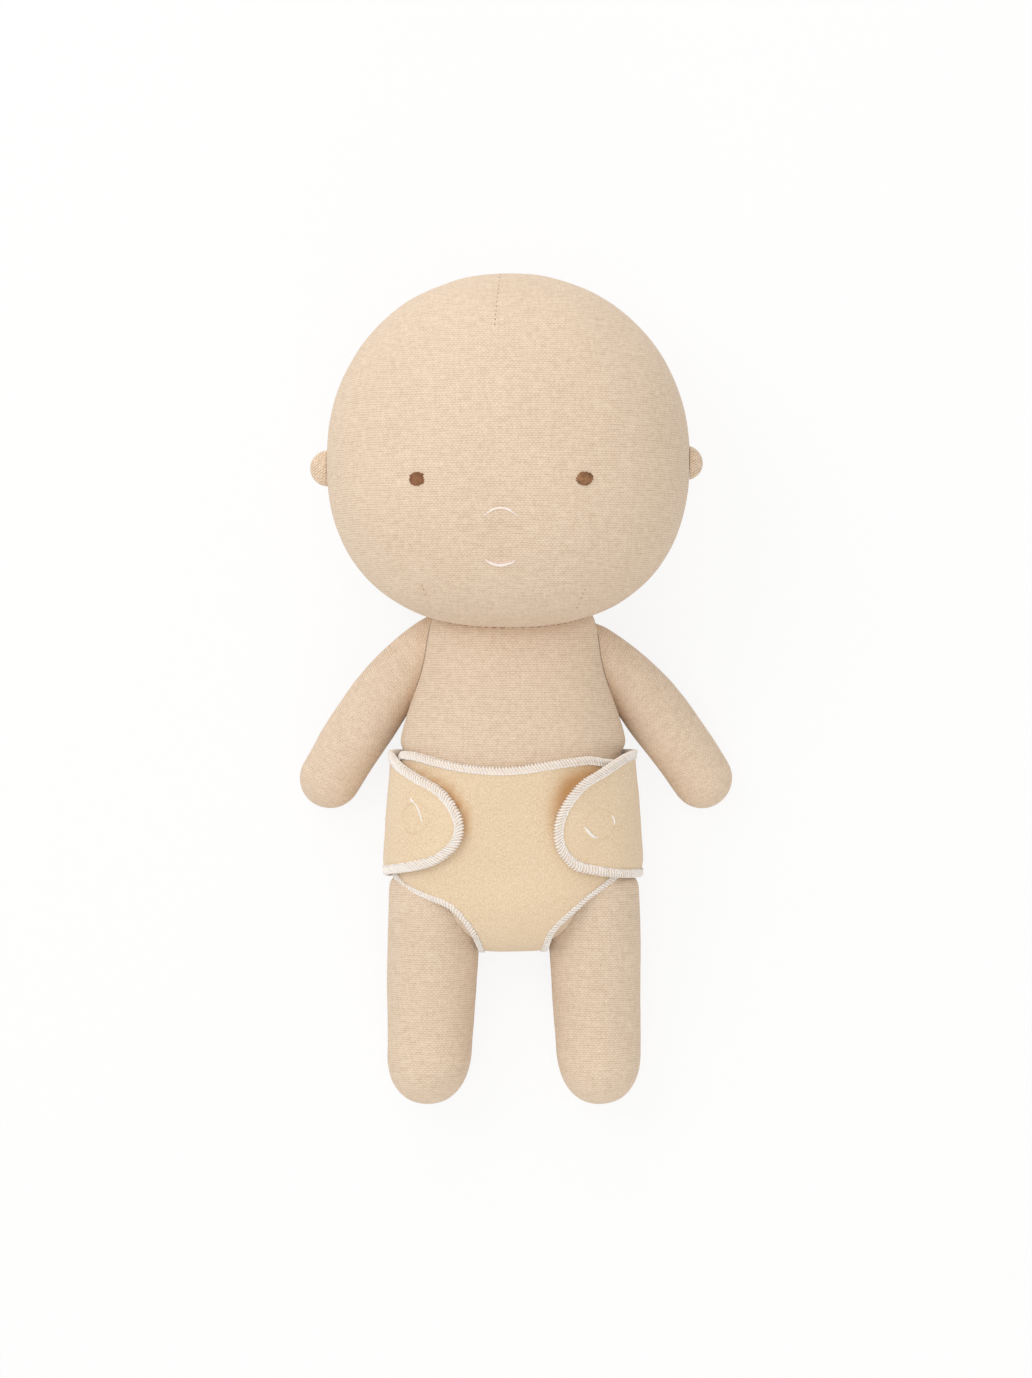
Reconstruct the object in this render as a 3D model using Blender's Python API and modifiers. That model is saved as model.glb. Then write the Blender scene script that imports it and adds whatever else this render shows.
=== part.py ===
"""A soft baby doll in a wrap nappy, lying on its back with its face up and its head towards +Y.

Metres, +Z up. The floor is z = 0 and the origin is under the middle of the doll.
The doll is sewn from stuffed cloth bags: a head with two ears, a torso, two arms and two legs.
A bag that is sewn to another is cut back by it, so that each seam has the shape it closes on.
The nappy is one cut of brushed cloth with an overlocked edge. It is cut out flat, in the pattern's own
coordinates, and then wrapped: down the belly, between the legs, up the back, and round both sides to
the front, where two rounded tabs close on hook-and-loop dots.
Left and right are the doll's own, so its left is +X.
"""

import math

import bmesh
import bpy
from mathutils import Matrix, Vector

# Head
HEAD_WIDTH = 0.1564
HEAD_DEPTH = 0.1240
CROWN_HEIGHT = 0.0801  # ear line up to the crown
CHIN_HEIGHT = 0.0725  # ear line down to the neck seam
CROWN_SQUARENESS = 2.09  # 2 is an ellipsoid, and more is boxier
CHIN_SQUARENESS = 2.32
HEAD_SINK = 0.0020  # how far the stuffed head flattens on the floor
HEAD_OFFSET = -0.0021  # the head sits slightly to the doll's right
HEAD_TURN = math.radians(3.0)  # and looks slightly that way

# Ears, each a small stuffed disc in the head's side seam
EAR_RADIUS = 0.0083
EAR_THICKNESS = 0.0078
EAR_INSET_LEFT = 0.0026  # the disc's centre lies inside the side seam
EAR_INSET_RIGHT = 0.0008
EAR_DROP_LEFT = 0.0016  # below the ear line
EAR_DROP_RIGHT = 0.0042

# Face embroidery, placed from the head's middle and from the ear line
EYE_SPACING = 0.0702
EYE_DROP = 0.0108
EYE_WIDTH = 0.0060
EYE_HEIGHT = 0.0056
NOSE_DROP = 0.0230  # the top of the nose arc
NOSE_WIDTH = 0.0136
NOSE_ARCH = 0.0037
MOUTH_DROP = 0.0447  # the corners of the mouth
MOUTH_WIDTH = 0.0112
MOUTH_SAG = 0.0030  # the corners down to the lower lip
MOUTH_UPPER_SAG = 0.0004  # the corners down to the upper lip
FACE_THREAD = 0.0009
SATIN_THICKNESS = 0.0007

# Torso, by distance below the neck seam
TORSO_LENGTH = 0.1385
SHOULDER_WIDTH = 0.0760
UPPER_CHEST_WIDTH = 0.0836
UPPER_CHEST_DROP = 0.0185
CHEST_WIDTH = 0.0964
CHEST_DROP = 0.0410
HIP_WIDTH = 0.1050
BELLY_HEIGHT = 0.0680
BELLY_DROP = 0.0560
HIP_HEIGHT = 0.0600
SIDE_SEAM_HEIGHT = 0.0315
TORSO_SQUARENESS = 2.3
TORSO_END = 0.0365  # length of the rounded bottom
BACK_FLAT = 0.0030  # how far the stuffed back is pressed flat
BACK_BEND = 0.0020  # how softly it turns up from there

# Neck, where the torso narrows and lifts off the floor to meet the head
NECK_INSET = 0.0160  # the torso's top end runs this far up, and the head cuts it off
NECK_WIDTH = 0.0640
NECK_TOP = 0.0620
NECK_BACK = 0.0220
SHOULDER_TOP = 0.0650
SHOULDER_BACK = 0.0075
NAPE_DROP = 0.0260  # where the back reaches the floor

# Arms: the axis bends from inside the shoulder to the middle of the hand
ARM_WIDTH = 0.0224
FOREARM_WIDTH = 0.0280
FOREARM_SHARE = 0.62  # where along the axis the arm is widest
HAND_WIDTH = 0.0268
ARM_FLATNESS = 0.93  # depth to width
HAND_REACH = 0.0822  # from the middle line to the middle of the hand
HAND_SHIFT = 0.0013  # both hands lie slightly to the doll's left
HAND_DROP = 0.0655
ELBOW_REACH_LEFT = 0.0525  # the control point of the bend
ELBOW_REACH_RIGHT = 0.0515
ELBOW_DROP_LEFT = 0.0172
ELBOW_DROP_RIGHT = 0.0150
ELBOW_HEIGHT = 0.0260
ARM_ROOT_REACH = 0.0260
ARM_ROOT_DROP_LEFT = 0.0046
ARM_ROOT_DROP_RIGHT = 0.0012
ARM_ROOT_HEIGHT = 0.0350

# Legs
LEG_LENGTH = 0.0703  # from the bottom of the torso to the sole
LEG_INSET = 0.0324  # the root runs this far up from the bottom of the torso
THIGH_WIDTH = 0.0398
THIGH_DEPTH = 0.0404
FOOT_WIDTH = 0.0358
FOOT_DEPTH = 0.0360
HIP_SPREAD = 0.0684  # between the legs' axes at the root
FOOT_SPREAD = 0.0762
LEG_SHIFT = 0.0005  # both legs lie slightly to the doll's left
CALF_SHARE = 0.75  # from here on the leg lies on the floor
LEG_ROOT_HEIGHT = 0.0334
ROOT_ROUNDING = 0.0140
SOLE_ROUNDING = 0.0225
SOLE_SQUARENESS = 2.2
LIMB_SINK = 0.0012  # how far a stuffed limb flattens on the floor

# Nappy cloth, its overlocked edge and its hook-and-loop dots
CLOTH_THICKNESS = 0.0014
EDGE_WIDTH = 0.0033
EDGE_THREAD = 0.0003
EDGE_GAP = 0.0004  # between the cloth and the thread round its edge
SEAM_GAP = 0.0003  # between pieces that are sewn or laid together
FLOOR_GAP = 0.0002  # the head, hands and legs carry the doll, and the nappy just clears the floor
DOT_RADIUS = 0.0074
DOT_THICKNESS = 0.0007
DOT_RING_RADIUS = 0.0062
DOT_RING_THREAD = 0.0006

# Nappy pattern, across from the middle line and along from where it turns in between the legs
SEAT_DEPTH = 0.0300
FRONT_RISE = 0.0595  # from there up to the corner of the waistband
FRONT_DIP = 0.0089  # the waistband is cut lower in the middle
FRONT_HALF_WIDTH = 0.0640
FRONT_CORNER = 0.0075
LEG_EDGE_DROP = 0.0035
CROTCH_HALF_WIDTH = 0.0145
LEG_HOLE_SQUARENESS = 3.0
WING_BOTTOM_RISE = 0.0028
WING_WIDTH = 0.0538
WING_RISE_LENGTH = 0.0240  # over which the wing lifts to pass over the front
TAB_LENGTH = 0.0440
TAB_REACH_LEFT = 0.0174  # from the middle line to the tab's tip
TAB_REACH_RIGHT = 0.0202
TAB_DROP = 0.0062  # the tip is lower than the middle of the wing
TAB_SQUARENESS = 2.3
DOT_FROM_TIP_LEFT = 0.0188
DOT_FROM_TIP_RIGHT = 0.0226
DOT_DROP = 0.0015

# Meshing
HEAD_SEGMENTS = 32
HEAD_RINGS = 20
TORSO_SEGMENTS = 28
TORSO_RINGS = 11
LIMB_SEGMENTS = 18
LIMB_RINGS = 7
END_RINGS = 5
CLOTH_CELL = 0.0066
EDGE_STEPS = 144
FINE_STEP = 0.0015
BEND_WEIGHT = 0.0200  # a bend of one radian gets as many steps as this length
DOT_SEGMENTS = 16
RING_SEGMENTS = 20
ARC_STEPS = 120
SMOOTH_ANGLE = math.radians(40)

# What follows from the sizes above
CROWN_Y = (CROWN_HEIGHT + CHIN_HEIGHT + TORSO_LENGTH + LEG_LENGTH) / 2
EAR_LINE_Y = CROWN_Y - CROWN_HEIGHT
NECK_Y = EAR_LINE_Y - CHIN_HEIGHT
TORSO_END_Y = NECK_Y - TORSO_LENGTH
HEAD_PLACE = Matrix.Translation((HEAD_OFFSET, EAR_LINE_Y, HEAD_DEPTH / 2 - HEAD_SINK)) @ Matrix.Rotation(
    -HEAD_TURN, 4, "Y"
)
CLOTH_HALF = CLOTH_THICKNESS / 2
EDGE_HALF = CLOTH_HALF + EDGE_GAP + EDGE_THREAD
WRAP_EASE = EDGE_HALF + SEAM_GAP  # from the torso to the middle of the cloth
TORSO_BACK = EDGE_HALF + WRAP_EASE + FLOOR_GAP  # the nappy lies between the torso and the floor
SEAT_START = TORSO_LENGTH + WRAP_EASE - SEAT_DEPTH
TAB_LIFT = CLOTH_THICKNESS + 2 * DOT_THICKNESS + 3 * SEAM_GAP  # cloth to cloth, through the dots

# Colours as a screen shows them, from 0 to 255
COTTON = (229, 206, 180)
NAPPY = (231, 208, 177)
OVERLOCK = (240, 229, 218)
EYE_THREAD = (146, 103, 71)
NOSE_THREAD = (245, 226, 212)
MOUTH_THREAD = (247, 228, 212)
DOT = (238, 226, 208)


def power(value, exponent):
    """Power that keeps the sign, so that one formula serves all quadrants of a superellipse."""
    return math.copysign(abs(value) ** exponent, value)


def rise(low, high, at):
    """0 up to low, 1 from high on, and an even rise between them."""
    share = min(max((at - low) / (high - low), 0.0), 1.0)
    return share * share * (3 - 2 * share)


def mix(first, second, share):
    return first + (second - first) * share


def through(stations, at):
    """Value at a place on a smooth curve through stations, each a place and a value, in order."""
    at = min(max(at, stations[0][0]), stations[-1][0])
    index = sum(place < at for place, _ in stations[1:-1])
    slopes = []
    for near in (index, index + 1):
        before = stations[max(near - 1, 0)]
        after = stations[min(near + 1, len(stations) - 1)]
        slopes.append((after[1] - before[1]) / (after[0] - before[0]))
    (start, low), (end, high) = stations[index : index + 2]
    share = (at - start) / (end - start)
    bend = slopes[0] * share * (1 - share) ** 2 - slopes[1] * share**2 * (1 - share)
    return mix(low, high, rise(0, 1, share)) + bend * (end - start)


def pressed(height, lowest):
    """Height of stuffed cloth that the floor presses up to a lowest level, with a soft bend beside it."""
    over = height - lowest
    rest = math.hypot(BACK_FLAT, BACK_BEND) - BACK_FLAT
    return lowest + (over + math.hypot(over, BACK_BEND) - rest) / 2


def linear(colour):
    """Scene-linear colour of one that is given as a screen shows it."""
    shares = [channel / 255 for channel in colour]
    return [share / 12.92 if share <= 0.04045 else ((share + 0.055) / 1.055) ** 2.4 for share in shares]


def cloth_material(name, colour, roughness):
    material = bpy.data.materials.new(name)
    material.use_nodes = True
    shader = material.node_tree.nodes["Principled BSDF"]
    shader.inputs["Base Color"].default_value = (*linear(colour), 1)
    shader.inputs["Roughness"].default_value = roughness
    shader.inputs["Metallic"].default_value = 0
    return material


def clear_scene():
    for obj in list(bpy.data.objects):
        bpy.data.objects.remove(obj, do_unlink=True)


def new_collection(name, hidden=False):
    collection = bpy.data.collections.new(name)
    collection.hide_render = hidden
    bpy.context.scene.collection.children.link(collection)
    return collection


def add_piece(name, shape, collection, colour, roughness=0.95):
    """Makes an object of a bmesh, with its own material, and frees the bmesh."""
    shape.normal_update()
    bmesh.ops.recalc_face_normals(shape, faces=shape.faces)
    mesh = bpy.data.meshes.new(name)
    shape.to_mesh(mesh)
    shape.free()
    mesh.shade_smooth()
    mesh.set_sharp_from_angle(angle=SMOOTH_ANGLE)
    mesh.materials.append(cloth_material(name, colour, roughness))
    piece = bpy.data.objects.new(name, mesh)
    collection.objects.link(piece)
    return piece


def add_cutter(name, shape, collection):
    cutter = add_piece(name, shape, collection, COTTON)
    cutter.hide_render = True
    cutter.display_type = "WIRE"
    return cutter


def cut_back(piece, *cutters):
    """Trims a bag to the shape of those that it is sewn to."""
    for cutter in cutters:
        modifier = piece.modifiers.new("Seam on " + cutter.name, "BOOLEAN")
        modifier.operation = "DIFFERENCE"
        modifier.solver = "EXACT"
        modifier.object = cutter


def loft(rings):
    """Closed shape through rings of points: a ring of one point is a pole, and a full end ring is capped."""
    shape = bmesh.new()
    rows = [[shape.verts.new(point) for point in ring] for ring in rings]
    for near, far in zip(rows, rows[1:]):
        count = max(len(near), len(far))
        for index in range(count):
            after = (index + 1) % count
            corners = [near[index % len(near)], near[after % len(near)]]
            corners += [far[after % len(far)], far[index % len(far)]]
            shape.faces.new(dict.fromkeys(corners))
    for row in (rows[0], rows[-1]):
        if len(row) > 1:
            shape.faces.new(row)
    return shape


def flatten(shape, height):
    """Presses the shape flat at a height, by taking off what is below it."""
    geometry = shape.verts[:] + shape.edges[:] + shape.faces[:]
    bmesh.ops.bisect_plane(
        shape, geom=geometry, dist=1e-5, plane_co=(0, 0, height), plane_no=(0, 0, -1), clear_outer=True
    )
    rim = [edge for edge in shape.edges if edge.is_boundary]
    if rim:
        bmesh.ops.holes_fill(shape, edges=rim, sides=0)
    return shape


def head_semi(level):
    """Semi-axes of the head and its squareness, at a level from -1 at the neck seam to 1 at the crown."""
    height = CROWN_HEIGHT if level > 0 else CHIN_HEIGHT
    squareness = mix(CHIN_SQUARENESS, CROWN_SQUARENESS, rise(-0.5, 0.5, level))
    return HEAD_WIDTH / 2, height, HEAD_DEPTH / 2, squareness


def head_shape(grow=0.0):
    shape = bmesh.new()
    bmesh.ops.create_uvsphere(shape, u_segments=HEAD_SEGMENTS, v_segments=HEAD_RINGS, radius=1)
    for vert in shape.verts:
        level = vert.co.z
        semi_width, height, semi_depth, squareness = head_semi(level)
        girth = max(1 - abs(level) ** squareness, 0) ** (1 / squareness)
        facing = Vector((vert.co.x, vert.co.y))
        if facing.length > 0:
            facing.normalize()
        vert.co = (
            (semi_width + grow) * girth * power(facing.x, 2 / squareness),
            (height + grow) * level,
            (semi_depth + grow) * girth * power(facing.y, 2 / squareness),
        )
    shape.transform(HEAD_PLACE)
    return shape


def face_height(across, drop):
    """Height of the face in front of the head's middle."""
    semi_width, height, semi_depth, squareness = head_semi(-drop / CHIN_HEIGHT)
    left = 1 - (abs(across) / semi_width) ** squareness - (abs(drop) / height) ** squareness
    return semi_depth * left ** (1 / squareness)


def face_place(across, drop, lift):
    """Matrix of a spot on the face, with its Z out of the cloth and its X along the head's width."""
    spread = 0.001
    spot = Vector((across, -drop, face_height(across, drop)))
    sideways = Vector((spread, 0, face_height(across + spread, drop) - spot.z)).normalized()
    down = Vector((0, -spread, face_height(across, drop + spread) - spot.z))
    out = down.cross(sideways).normalized()
    upward = out.cross(sideways)
    turn = Matrix((sideways, upward, out)).transposed().to_4x4()
    return HEAD_PLACE @ Matrix.Translation(spot + out * lift) @ turn


def build_head(pieces, head_cutter):
    add_piece("head", flatten(head_shape(), 0), pieces, COTTON)
    ears = (("ear_left", 1, EAR_INSET_LEFT, EAR_DROP_LEFT), ("ear_right", -1, EAR_INSET_RIGHT, EAR_DROP_RIGHT))
    for name, side, inset, drop in ears:
        shape = bmesh.new()
        bmesh.ops.create_uvsphere(shape, u_segments=16, v_segments=8, radius=1)
        scale = Matrix.Diagonal((EAR_RADIUS, EAR_RADIUS, EAR_THICKNESS / 2, 1))
        place = Matrix.Translation((side * (HEAD_WIDTH / 2 - inset), -drop, 0))
        shape.transform(HEAD_PLACE @ place @ scale)
        cut_back(add_piece(name, shape, pieces, COTTON), head_cutter)


def build_eyes(pieces):
    for name, side in (("eye_left", 1), ("eye_right", -1)):
        shape = bmesh.new()
        bmesh.ops.create_uvsphere(shape, u_segments=16, v_segments=6, radius=1)
        scale = Matrix.Diagonal((EYE_WIDTH / 2, EYE_HEIGHT / 2, SATIN_THICKNESS / 2, 1))
        place = face_place(side * EYE_SPACING / 2, EYE_DROP, SEAM_GAP + SATIN_THICKNESS / 2)
        shape.transform(place @ scale)
        add_piece(name, shape, pieces, EYE_THREAD, roughness=0.7)


def build_nose(pieces):
    """A single arc of thread."""
    steps = 8
    curve = bpy.data.curves.new("nose_stitch", "CURVE")
    curve.dimensions = "3D"
    curve.bevel_depth = FACE_THREAD / 2
    curve.bevel_resolution = 1
    curve.use_fill_caps = True
    spline = curve.splines.new("POLY")
    spline.points.add(steps)
    for index, point in enumerate(spline.points):
        share = 2 * index / steps - 1
        place = face_place(share * NOSE_WIDTH / 2, NOSE_DROP + NOSE_ARCH * share**2, SEAM_GAP + FACE_THREAD / 2)
        point.co = (*place.translation, 1)
    curve.materials.append(cloth_material("nose_stitch", NOSE_THREAD, 0.7))
    pieces.objects.link(bpy.data.objects.new("nose_stitch", curve))


def build_mouth(pieces):
    """A crescent of satin stitch."""
    steps = 10
    shape = bmesh.new()
    upper, lower = [], []
    for index in range(steps + 1):
        share = 2 * index / steps - 1
        bow = 1 - share**2
        upper.append(shape.verts.new((share * MOUTH_WIDTH / 2, -MOUTH_UPPER_SAG * bow, 0)))
        if 0 < index < steps:
            lower.append(shape.verts.new((share * MOUTH_WIDTH / 2, -MOUTH_SAG * bow, 0)))
    face = shape.faces.new(upper + lower[::-1])
    raised = bmesh.ops.extrude_face_region(shape, geom=[face])["geom"]
    moved = [item for item in raised if isinstance(item, bmesh.types.BMVert)]
    bmesh.ops.translate(shape, verts=moved, vec=(0, 0, SATIN_THICKNESS))
    shape.transform(face_place(0, MOUTH_DROP, SEAM_GAP))
    add_piece("mouth_stitch", shape, pieces, MOUTH_THREAD, roughness=0.7)


def trunk_section(down):
    """Half-width of the torso, and the heights of its side seam, front and back, below the neck seam."""
    hips = SEAT_START
    width = through(
        (
            (-NECK_INSET, NECK_WIDTH),
            (0, SHOULDER_WIDTH),
            (UPPER_CHEST_DROP, UPPER_CHEST_WIDTH),
            (CHEST_DROP, CHEST_WIDTH),
            (hips, HIP_WIDTH),
        ),
        down,
    )
    back_height = TORSO_BACK - BACK_FLAT
    back = through(
        ((-NECK_INSET, NECK_BACK), (0, SHOULDER_BACK), (NAPE_DROP, back_height), (hips, back_height)), down
    )
    front = through(
        ((-NECK_INSET, NECK_TOP), (0, SHOULDER_TOP), (BELLY_DROP, BELLY_HEIGHT), (hips, HIP_HEIGHT)), down
    )
    lifted = (NECK_TOP + NECK_BACK) / 2
    middle = mix(lifted, SIDE_SEAM_HEIGHT, rise(-NECK_INSET, NAPE_DROP, down))
    return width / 2, middle, front, back


def section_ring(down, scale, grow):
    """Ring of points round the torso."""
    half, middle, front, back = trunk_section(down)
    ring = []
    for index in range(TORSO_SEGMENTS):
        turn = math.tau * index / TORSO_SEGMENTS
        depth = front - middle if math.cos(turn) > 0 else middle - back
        across = (half * scale + grow) * power(math.sin(turn), 2 / TORSO_SQUARENESS)
        height = middle + (depth * scale + grow) * power(math.cos(turn), 2 / TORSO_SQUARENESS)
        ring.append((across, NECK_Y - down, pressed(height, TORSO_BACK - grow)))
    return ring


def torso_shape(grow=0.0):
    rings = []
    straight = TORSO_LENGTH - TORSO_END + NECK_INSET
    for index in range(TORSO_RINGS):
        rings.append(section_ring(straight * index / TORSO_RINGS - NECK_INSET, 1, grow))
    for index in range(END_RINGS + 1):
        turn = math.pi / 2 * index / (END_RINGS + 1)
        down = TORSO_LENGTH - TORSO_END + (TORSO_END + grow) * math.sin(turn)
        rings.append(section_ring(down, math.cos(turn), grow * math.cos(turn)))
    rings.append([(0, TORSO_END_Y - grow, SIDE_SEAM_HEIGHT)])
    return loft(rings)


def ellipse_ring(centre, across, depth):
    """Ring of points about a centre, given the half-width and half-depth as vectors."""
    turns = [math.tau * index / LIMB_SEGMENTS for index in range(LIMB_SEGMENTS)]
    return [centre + across * math.sin(turn) + depth * math.cos(turn) for turn in turns]


def arm_shape(side, root_drop, elbow_reach, elbow_drop):
    """An arm that bends from the shoulder to a round hand."""
    radius = HAND_WIDTH / 2
    root = Vector((side * ARM_ROOT_REACH, NECK_Y - root_drop, ARM_ROOT_HEIGHT))
    elbow = Vector((side * elbow_reach, NECK_Y - elbow_drop, ELBOW_HEIGHT))
    hand = Vector((side * HAND_REACH + HAND_SHIFT, NECK_Y - HAND_DROP, radius * ARM_FLATNESS - LIMB_SINK))
    rings = []
    for index in range(LIMB_RINGS + 1):
        share = index / LIMB_RINGS
        centre = root.lerp(elbow, share).lerp(elbow.lerp(hand, share), share)
        along = (elbow - root).lerp(hand - elbow, share).normalized()
        across = Vector((along.y, -along.x, 0)).normalized()
        up = across.cross(along) * ARM_FLATNESS
        half = through(((0, ARM_WIDTH), (FOREARM_SHARE, FOREARM_WIDTH), (1, HAND_WIDTH)), share) / 2
        rings.append(ellipse_ring(centre, across * half, up * half))
    for index in range(1, END_RINGS):
        turn = math.pi / 2 * index / END_RINGS
        half = radius * math.cos(turn)
        rings.append(ellipse_ring(hand + along * radius * math.sin(turn), across * half, up * half))
    rings.append([hand + along * radius])
    return flatten(loft(rings), 0)


def leg_place(side, share):
    """Middle of a leg, from 0 at its root to 1 at its sole."""
    root_y = TORSO_END_Y + LEG_INSET
    across = mix(HIP_SPREAD, FOOT_SPREAD, share) / 2
    foot_height = FOOT_DEPTH / 2 - LIMB_SINK
    height = mix(LEG_ROOT_HEIGHT, foot_height, rise(0, CALF_SHARE, share))
    return Vector((side * across + LEG_SHIFT, root_y - share * (LEG_LENGTH + LEG_INSET), height))


def leg_shape(side):
    """A leg that tapers from the thigh, rounded at its root and at its sole."""
    length = LEG_LENGTH + LEG_INSET
    root_share = ROOT_ROUNDING / length
    sole_share = SOLE_ROUNDING / length
    shares = [(root_share * (1 - math.cos(math.pi / 2 * index / END_RINGS))) for index in range(1, END_RINGS)]
    shares += [mix(root_share, 1 - sole_share, index / LIMB_RINGS) for index in range(LIMB_RINGS + 1)]
    shares += [1 - sole_share * (1 - math.sin(math.pi / 2 * index / END_RINGS)) for index in range(1, END_RINGS)]
    rings = [[leg_place(side, 0)]]
    for share in shares:
        near = max(1 - share / root_share, 0)
        far = max(1 - (1 - share) / sole_share, 0)
        girth = (1 - near**2) ** 0.5 * (1 - far**SOLE_SQUARENESS) ** (1 / SOLE_SQUARENESS)
        width = mix(THIGH_WIDTH, FOOT_WIDTH, rise(0.2, 1, share)) * girth
        depth = mix(THIGH_DEPTH, FOOT_DEPTH, rise(0.2, 1, share)) * girth
        rings.append(ellipse_ring(leg_place(side, share), Vector((width / 2, 0, 0)), Vector((0, 0, depth / 2))))
    rings.append([leg_place(side, 1)])
    return flatten(loft(rings), 0)


def build_body(pieces, head_cutter, torso_cutter):
    cut_back(add_piece("torso", torso_shape(), pieces, COTTON), head_cutter)
    left = ("left", 1, ARM_ROOT_DROP_LEFT, ELBOW_REACH_LEFT, ELBOW_DROP_LEFT)
    right = ("right", -1, ARM_ROOT_DROP_RIGHT, ELBOW_REACH_RIGHT, ELBOW_DROP_RIGHT)
    for name, side, *bend in (left, right):
        cut_back(add_piece("arm_" + name, arm_shape(side, *bend), pieces, COTTON), torso_cutter, head_cutter)
        cut_back(add_piece("leg_" + name, leg_shape(side), pieces, COTTON), torso_cutter)


class Wrap:
    """Carries a point of the flat nappy pattern to its place round the doll.

    across runs from the middle line, positive to the doll's left. along is 0 where the front turns in
    between the legs, negative above that, and passes under the seat and up the back as it grows.
    """

    def __init__(self):
        self.seat = [(0.0, 0.0)]
        before = None
        for index in range(2 * ARC_STEPS + 1):
            turn = math.pi * index / (2 * ARC_STEPS)
            spot = self.spot(self.seat_row(turn, WRAP_EASE), 0, WRAP_EASE)
            if before is not None:
                self.seat.append((self.seat[-1][0] + (spot - before).length, turn))
            before = spot
        self.seat_length = self.seat[-1][0]

    def belt_row(self, down, grow, from_back):
        """Half-width, hub, and the reach from the hub to the near and to the far middle line."""
        half, middle, front, back = trunk_section(down)
        up = Vector((0, 0, front - middle + grow))
        low = Vector((0, 0, back - middle - grow))
        near, far = (low, up) if from_back else (up, low)
        return half + grow, Vector((0, NECK_Y - down, middle)), near, far

    def seat_row(self, turn, grow):
        half, hub, front, back = self.belt_row(SEAT_START, grow, False)
        height = front if math.cos(turn) > 0 else back
        near = height * abs(math.cos(turn)) ** (2 / TORSO_SQUARENESS)
        near.y = -(SEAT_DEPTH - WRAP_EASE + grow) * abs(math.sin(turn)) ** (2 / TORSO_SQUARENESS)
        return half, hub, near, -near

    def row(self, along, grow):
        if along < 0:
            return self.belt_row(SEAT_START + along, grow, False)
        if along > self.seat_length:
            return self.belt_row(SEAT_START - (along - self.seat_length), grow, True)
        index = next(step for step, (length, _) in enumerate(self.seat) if length >= along)
        (start, low), (end, high) = self.seat[max(index - 1, 0)], self.seat[index]
        share = (along - start) / (end - start) if end > start else 0
        return self.seat_row(mix(low, high, share), grow)

    def spot(self, row, turn, grow):
        """Point of a row, from turn 0 on its near middle line to pi on its far one."""
        half, hub, near, far = row
        reach = near if turn < math.pi / 2 else far
        point = hub + reach * abs(math.cos(turn)) ** (2 / TORSO_SQUARENESS)
        point.x = half * math.sin(turn) ** (2 / TORSO_SQUARENESS)
        point.z = pressed(point.z, TORSO_BACK - grow)
        return point

    def arcs(self, along):
        """Arc lengths and turns round one side, from the near middle line."""
        row = self.row(along, WRAP_EASE)
        found = [(0.0, 0.0)]
        before = self.spot(row, 0, WRAP_EASE)
        for index in range(1, ARC_STEPS + 1):
            turn = min(math.pi * index / ARC_STEPS, math.pi)
            point = self.spot(row, turn, WRAP_EASE)
            found.append((found[-1][0] + (point - before).length, turn))
            before = point
        return found

    def half_round(self, along):
        return self.arcs(along)[-1][0]

    def lift(self, across, along, around):
        """How far the cloth stands outside the plain wrap: the wings pass over the front."""
        if along <= self.seat_length:
            return 0.0
        edge = around - FRONT_HALF_WIDTH - SEAM_GAP
        return TAB_LIFT * rise(edge - WING_RISE_LENGTH, edge, abs(across))

    def place(self, across, along, out=0.0):
        arcs = self.arcs(along)
        reach = abs(across)
        index = next((step for step, (length, _) in enumerate(arcs) if length >= reach), len(arcs) - 1)
        (start, low), (end, high) = arcs[max(index - 1, 0)], arcs[index]
        turn = mix(low, high, (reach - start) / (end - start)) if end > start else 0.0
        grow = WRAP_EASE + self.lift(across, along, arcs[-1][0]) + out
        point = self.spot(self.row(along, grow), min(turn, math.pi), grow)
        point.x = math.copysign(point.x, across)
        return point


def superellipse(centre, semi_across, semi_along, squareness, start, end, steps):
    """Points of an arc between two turns, in quarters: 0 is +across and 1 is +along."""
    points = []
    for index in range(steps + 1):
        turn = math.pi / 2 * mix(start, end, index / steps)
        across = centre[0] + semi_across * power(math.cos(turn), 2 / squareness)
        points.append((across, centre[1] + semi_along * power(math.sin(turn), 2 / squareness)))
    return points


def wing_middle(wrap):
    return wrap.seat_length + WING_BOTTOM_RISE + WING_WIDTH / 2


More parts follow.
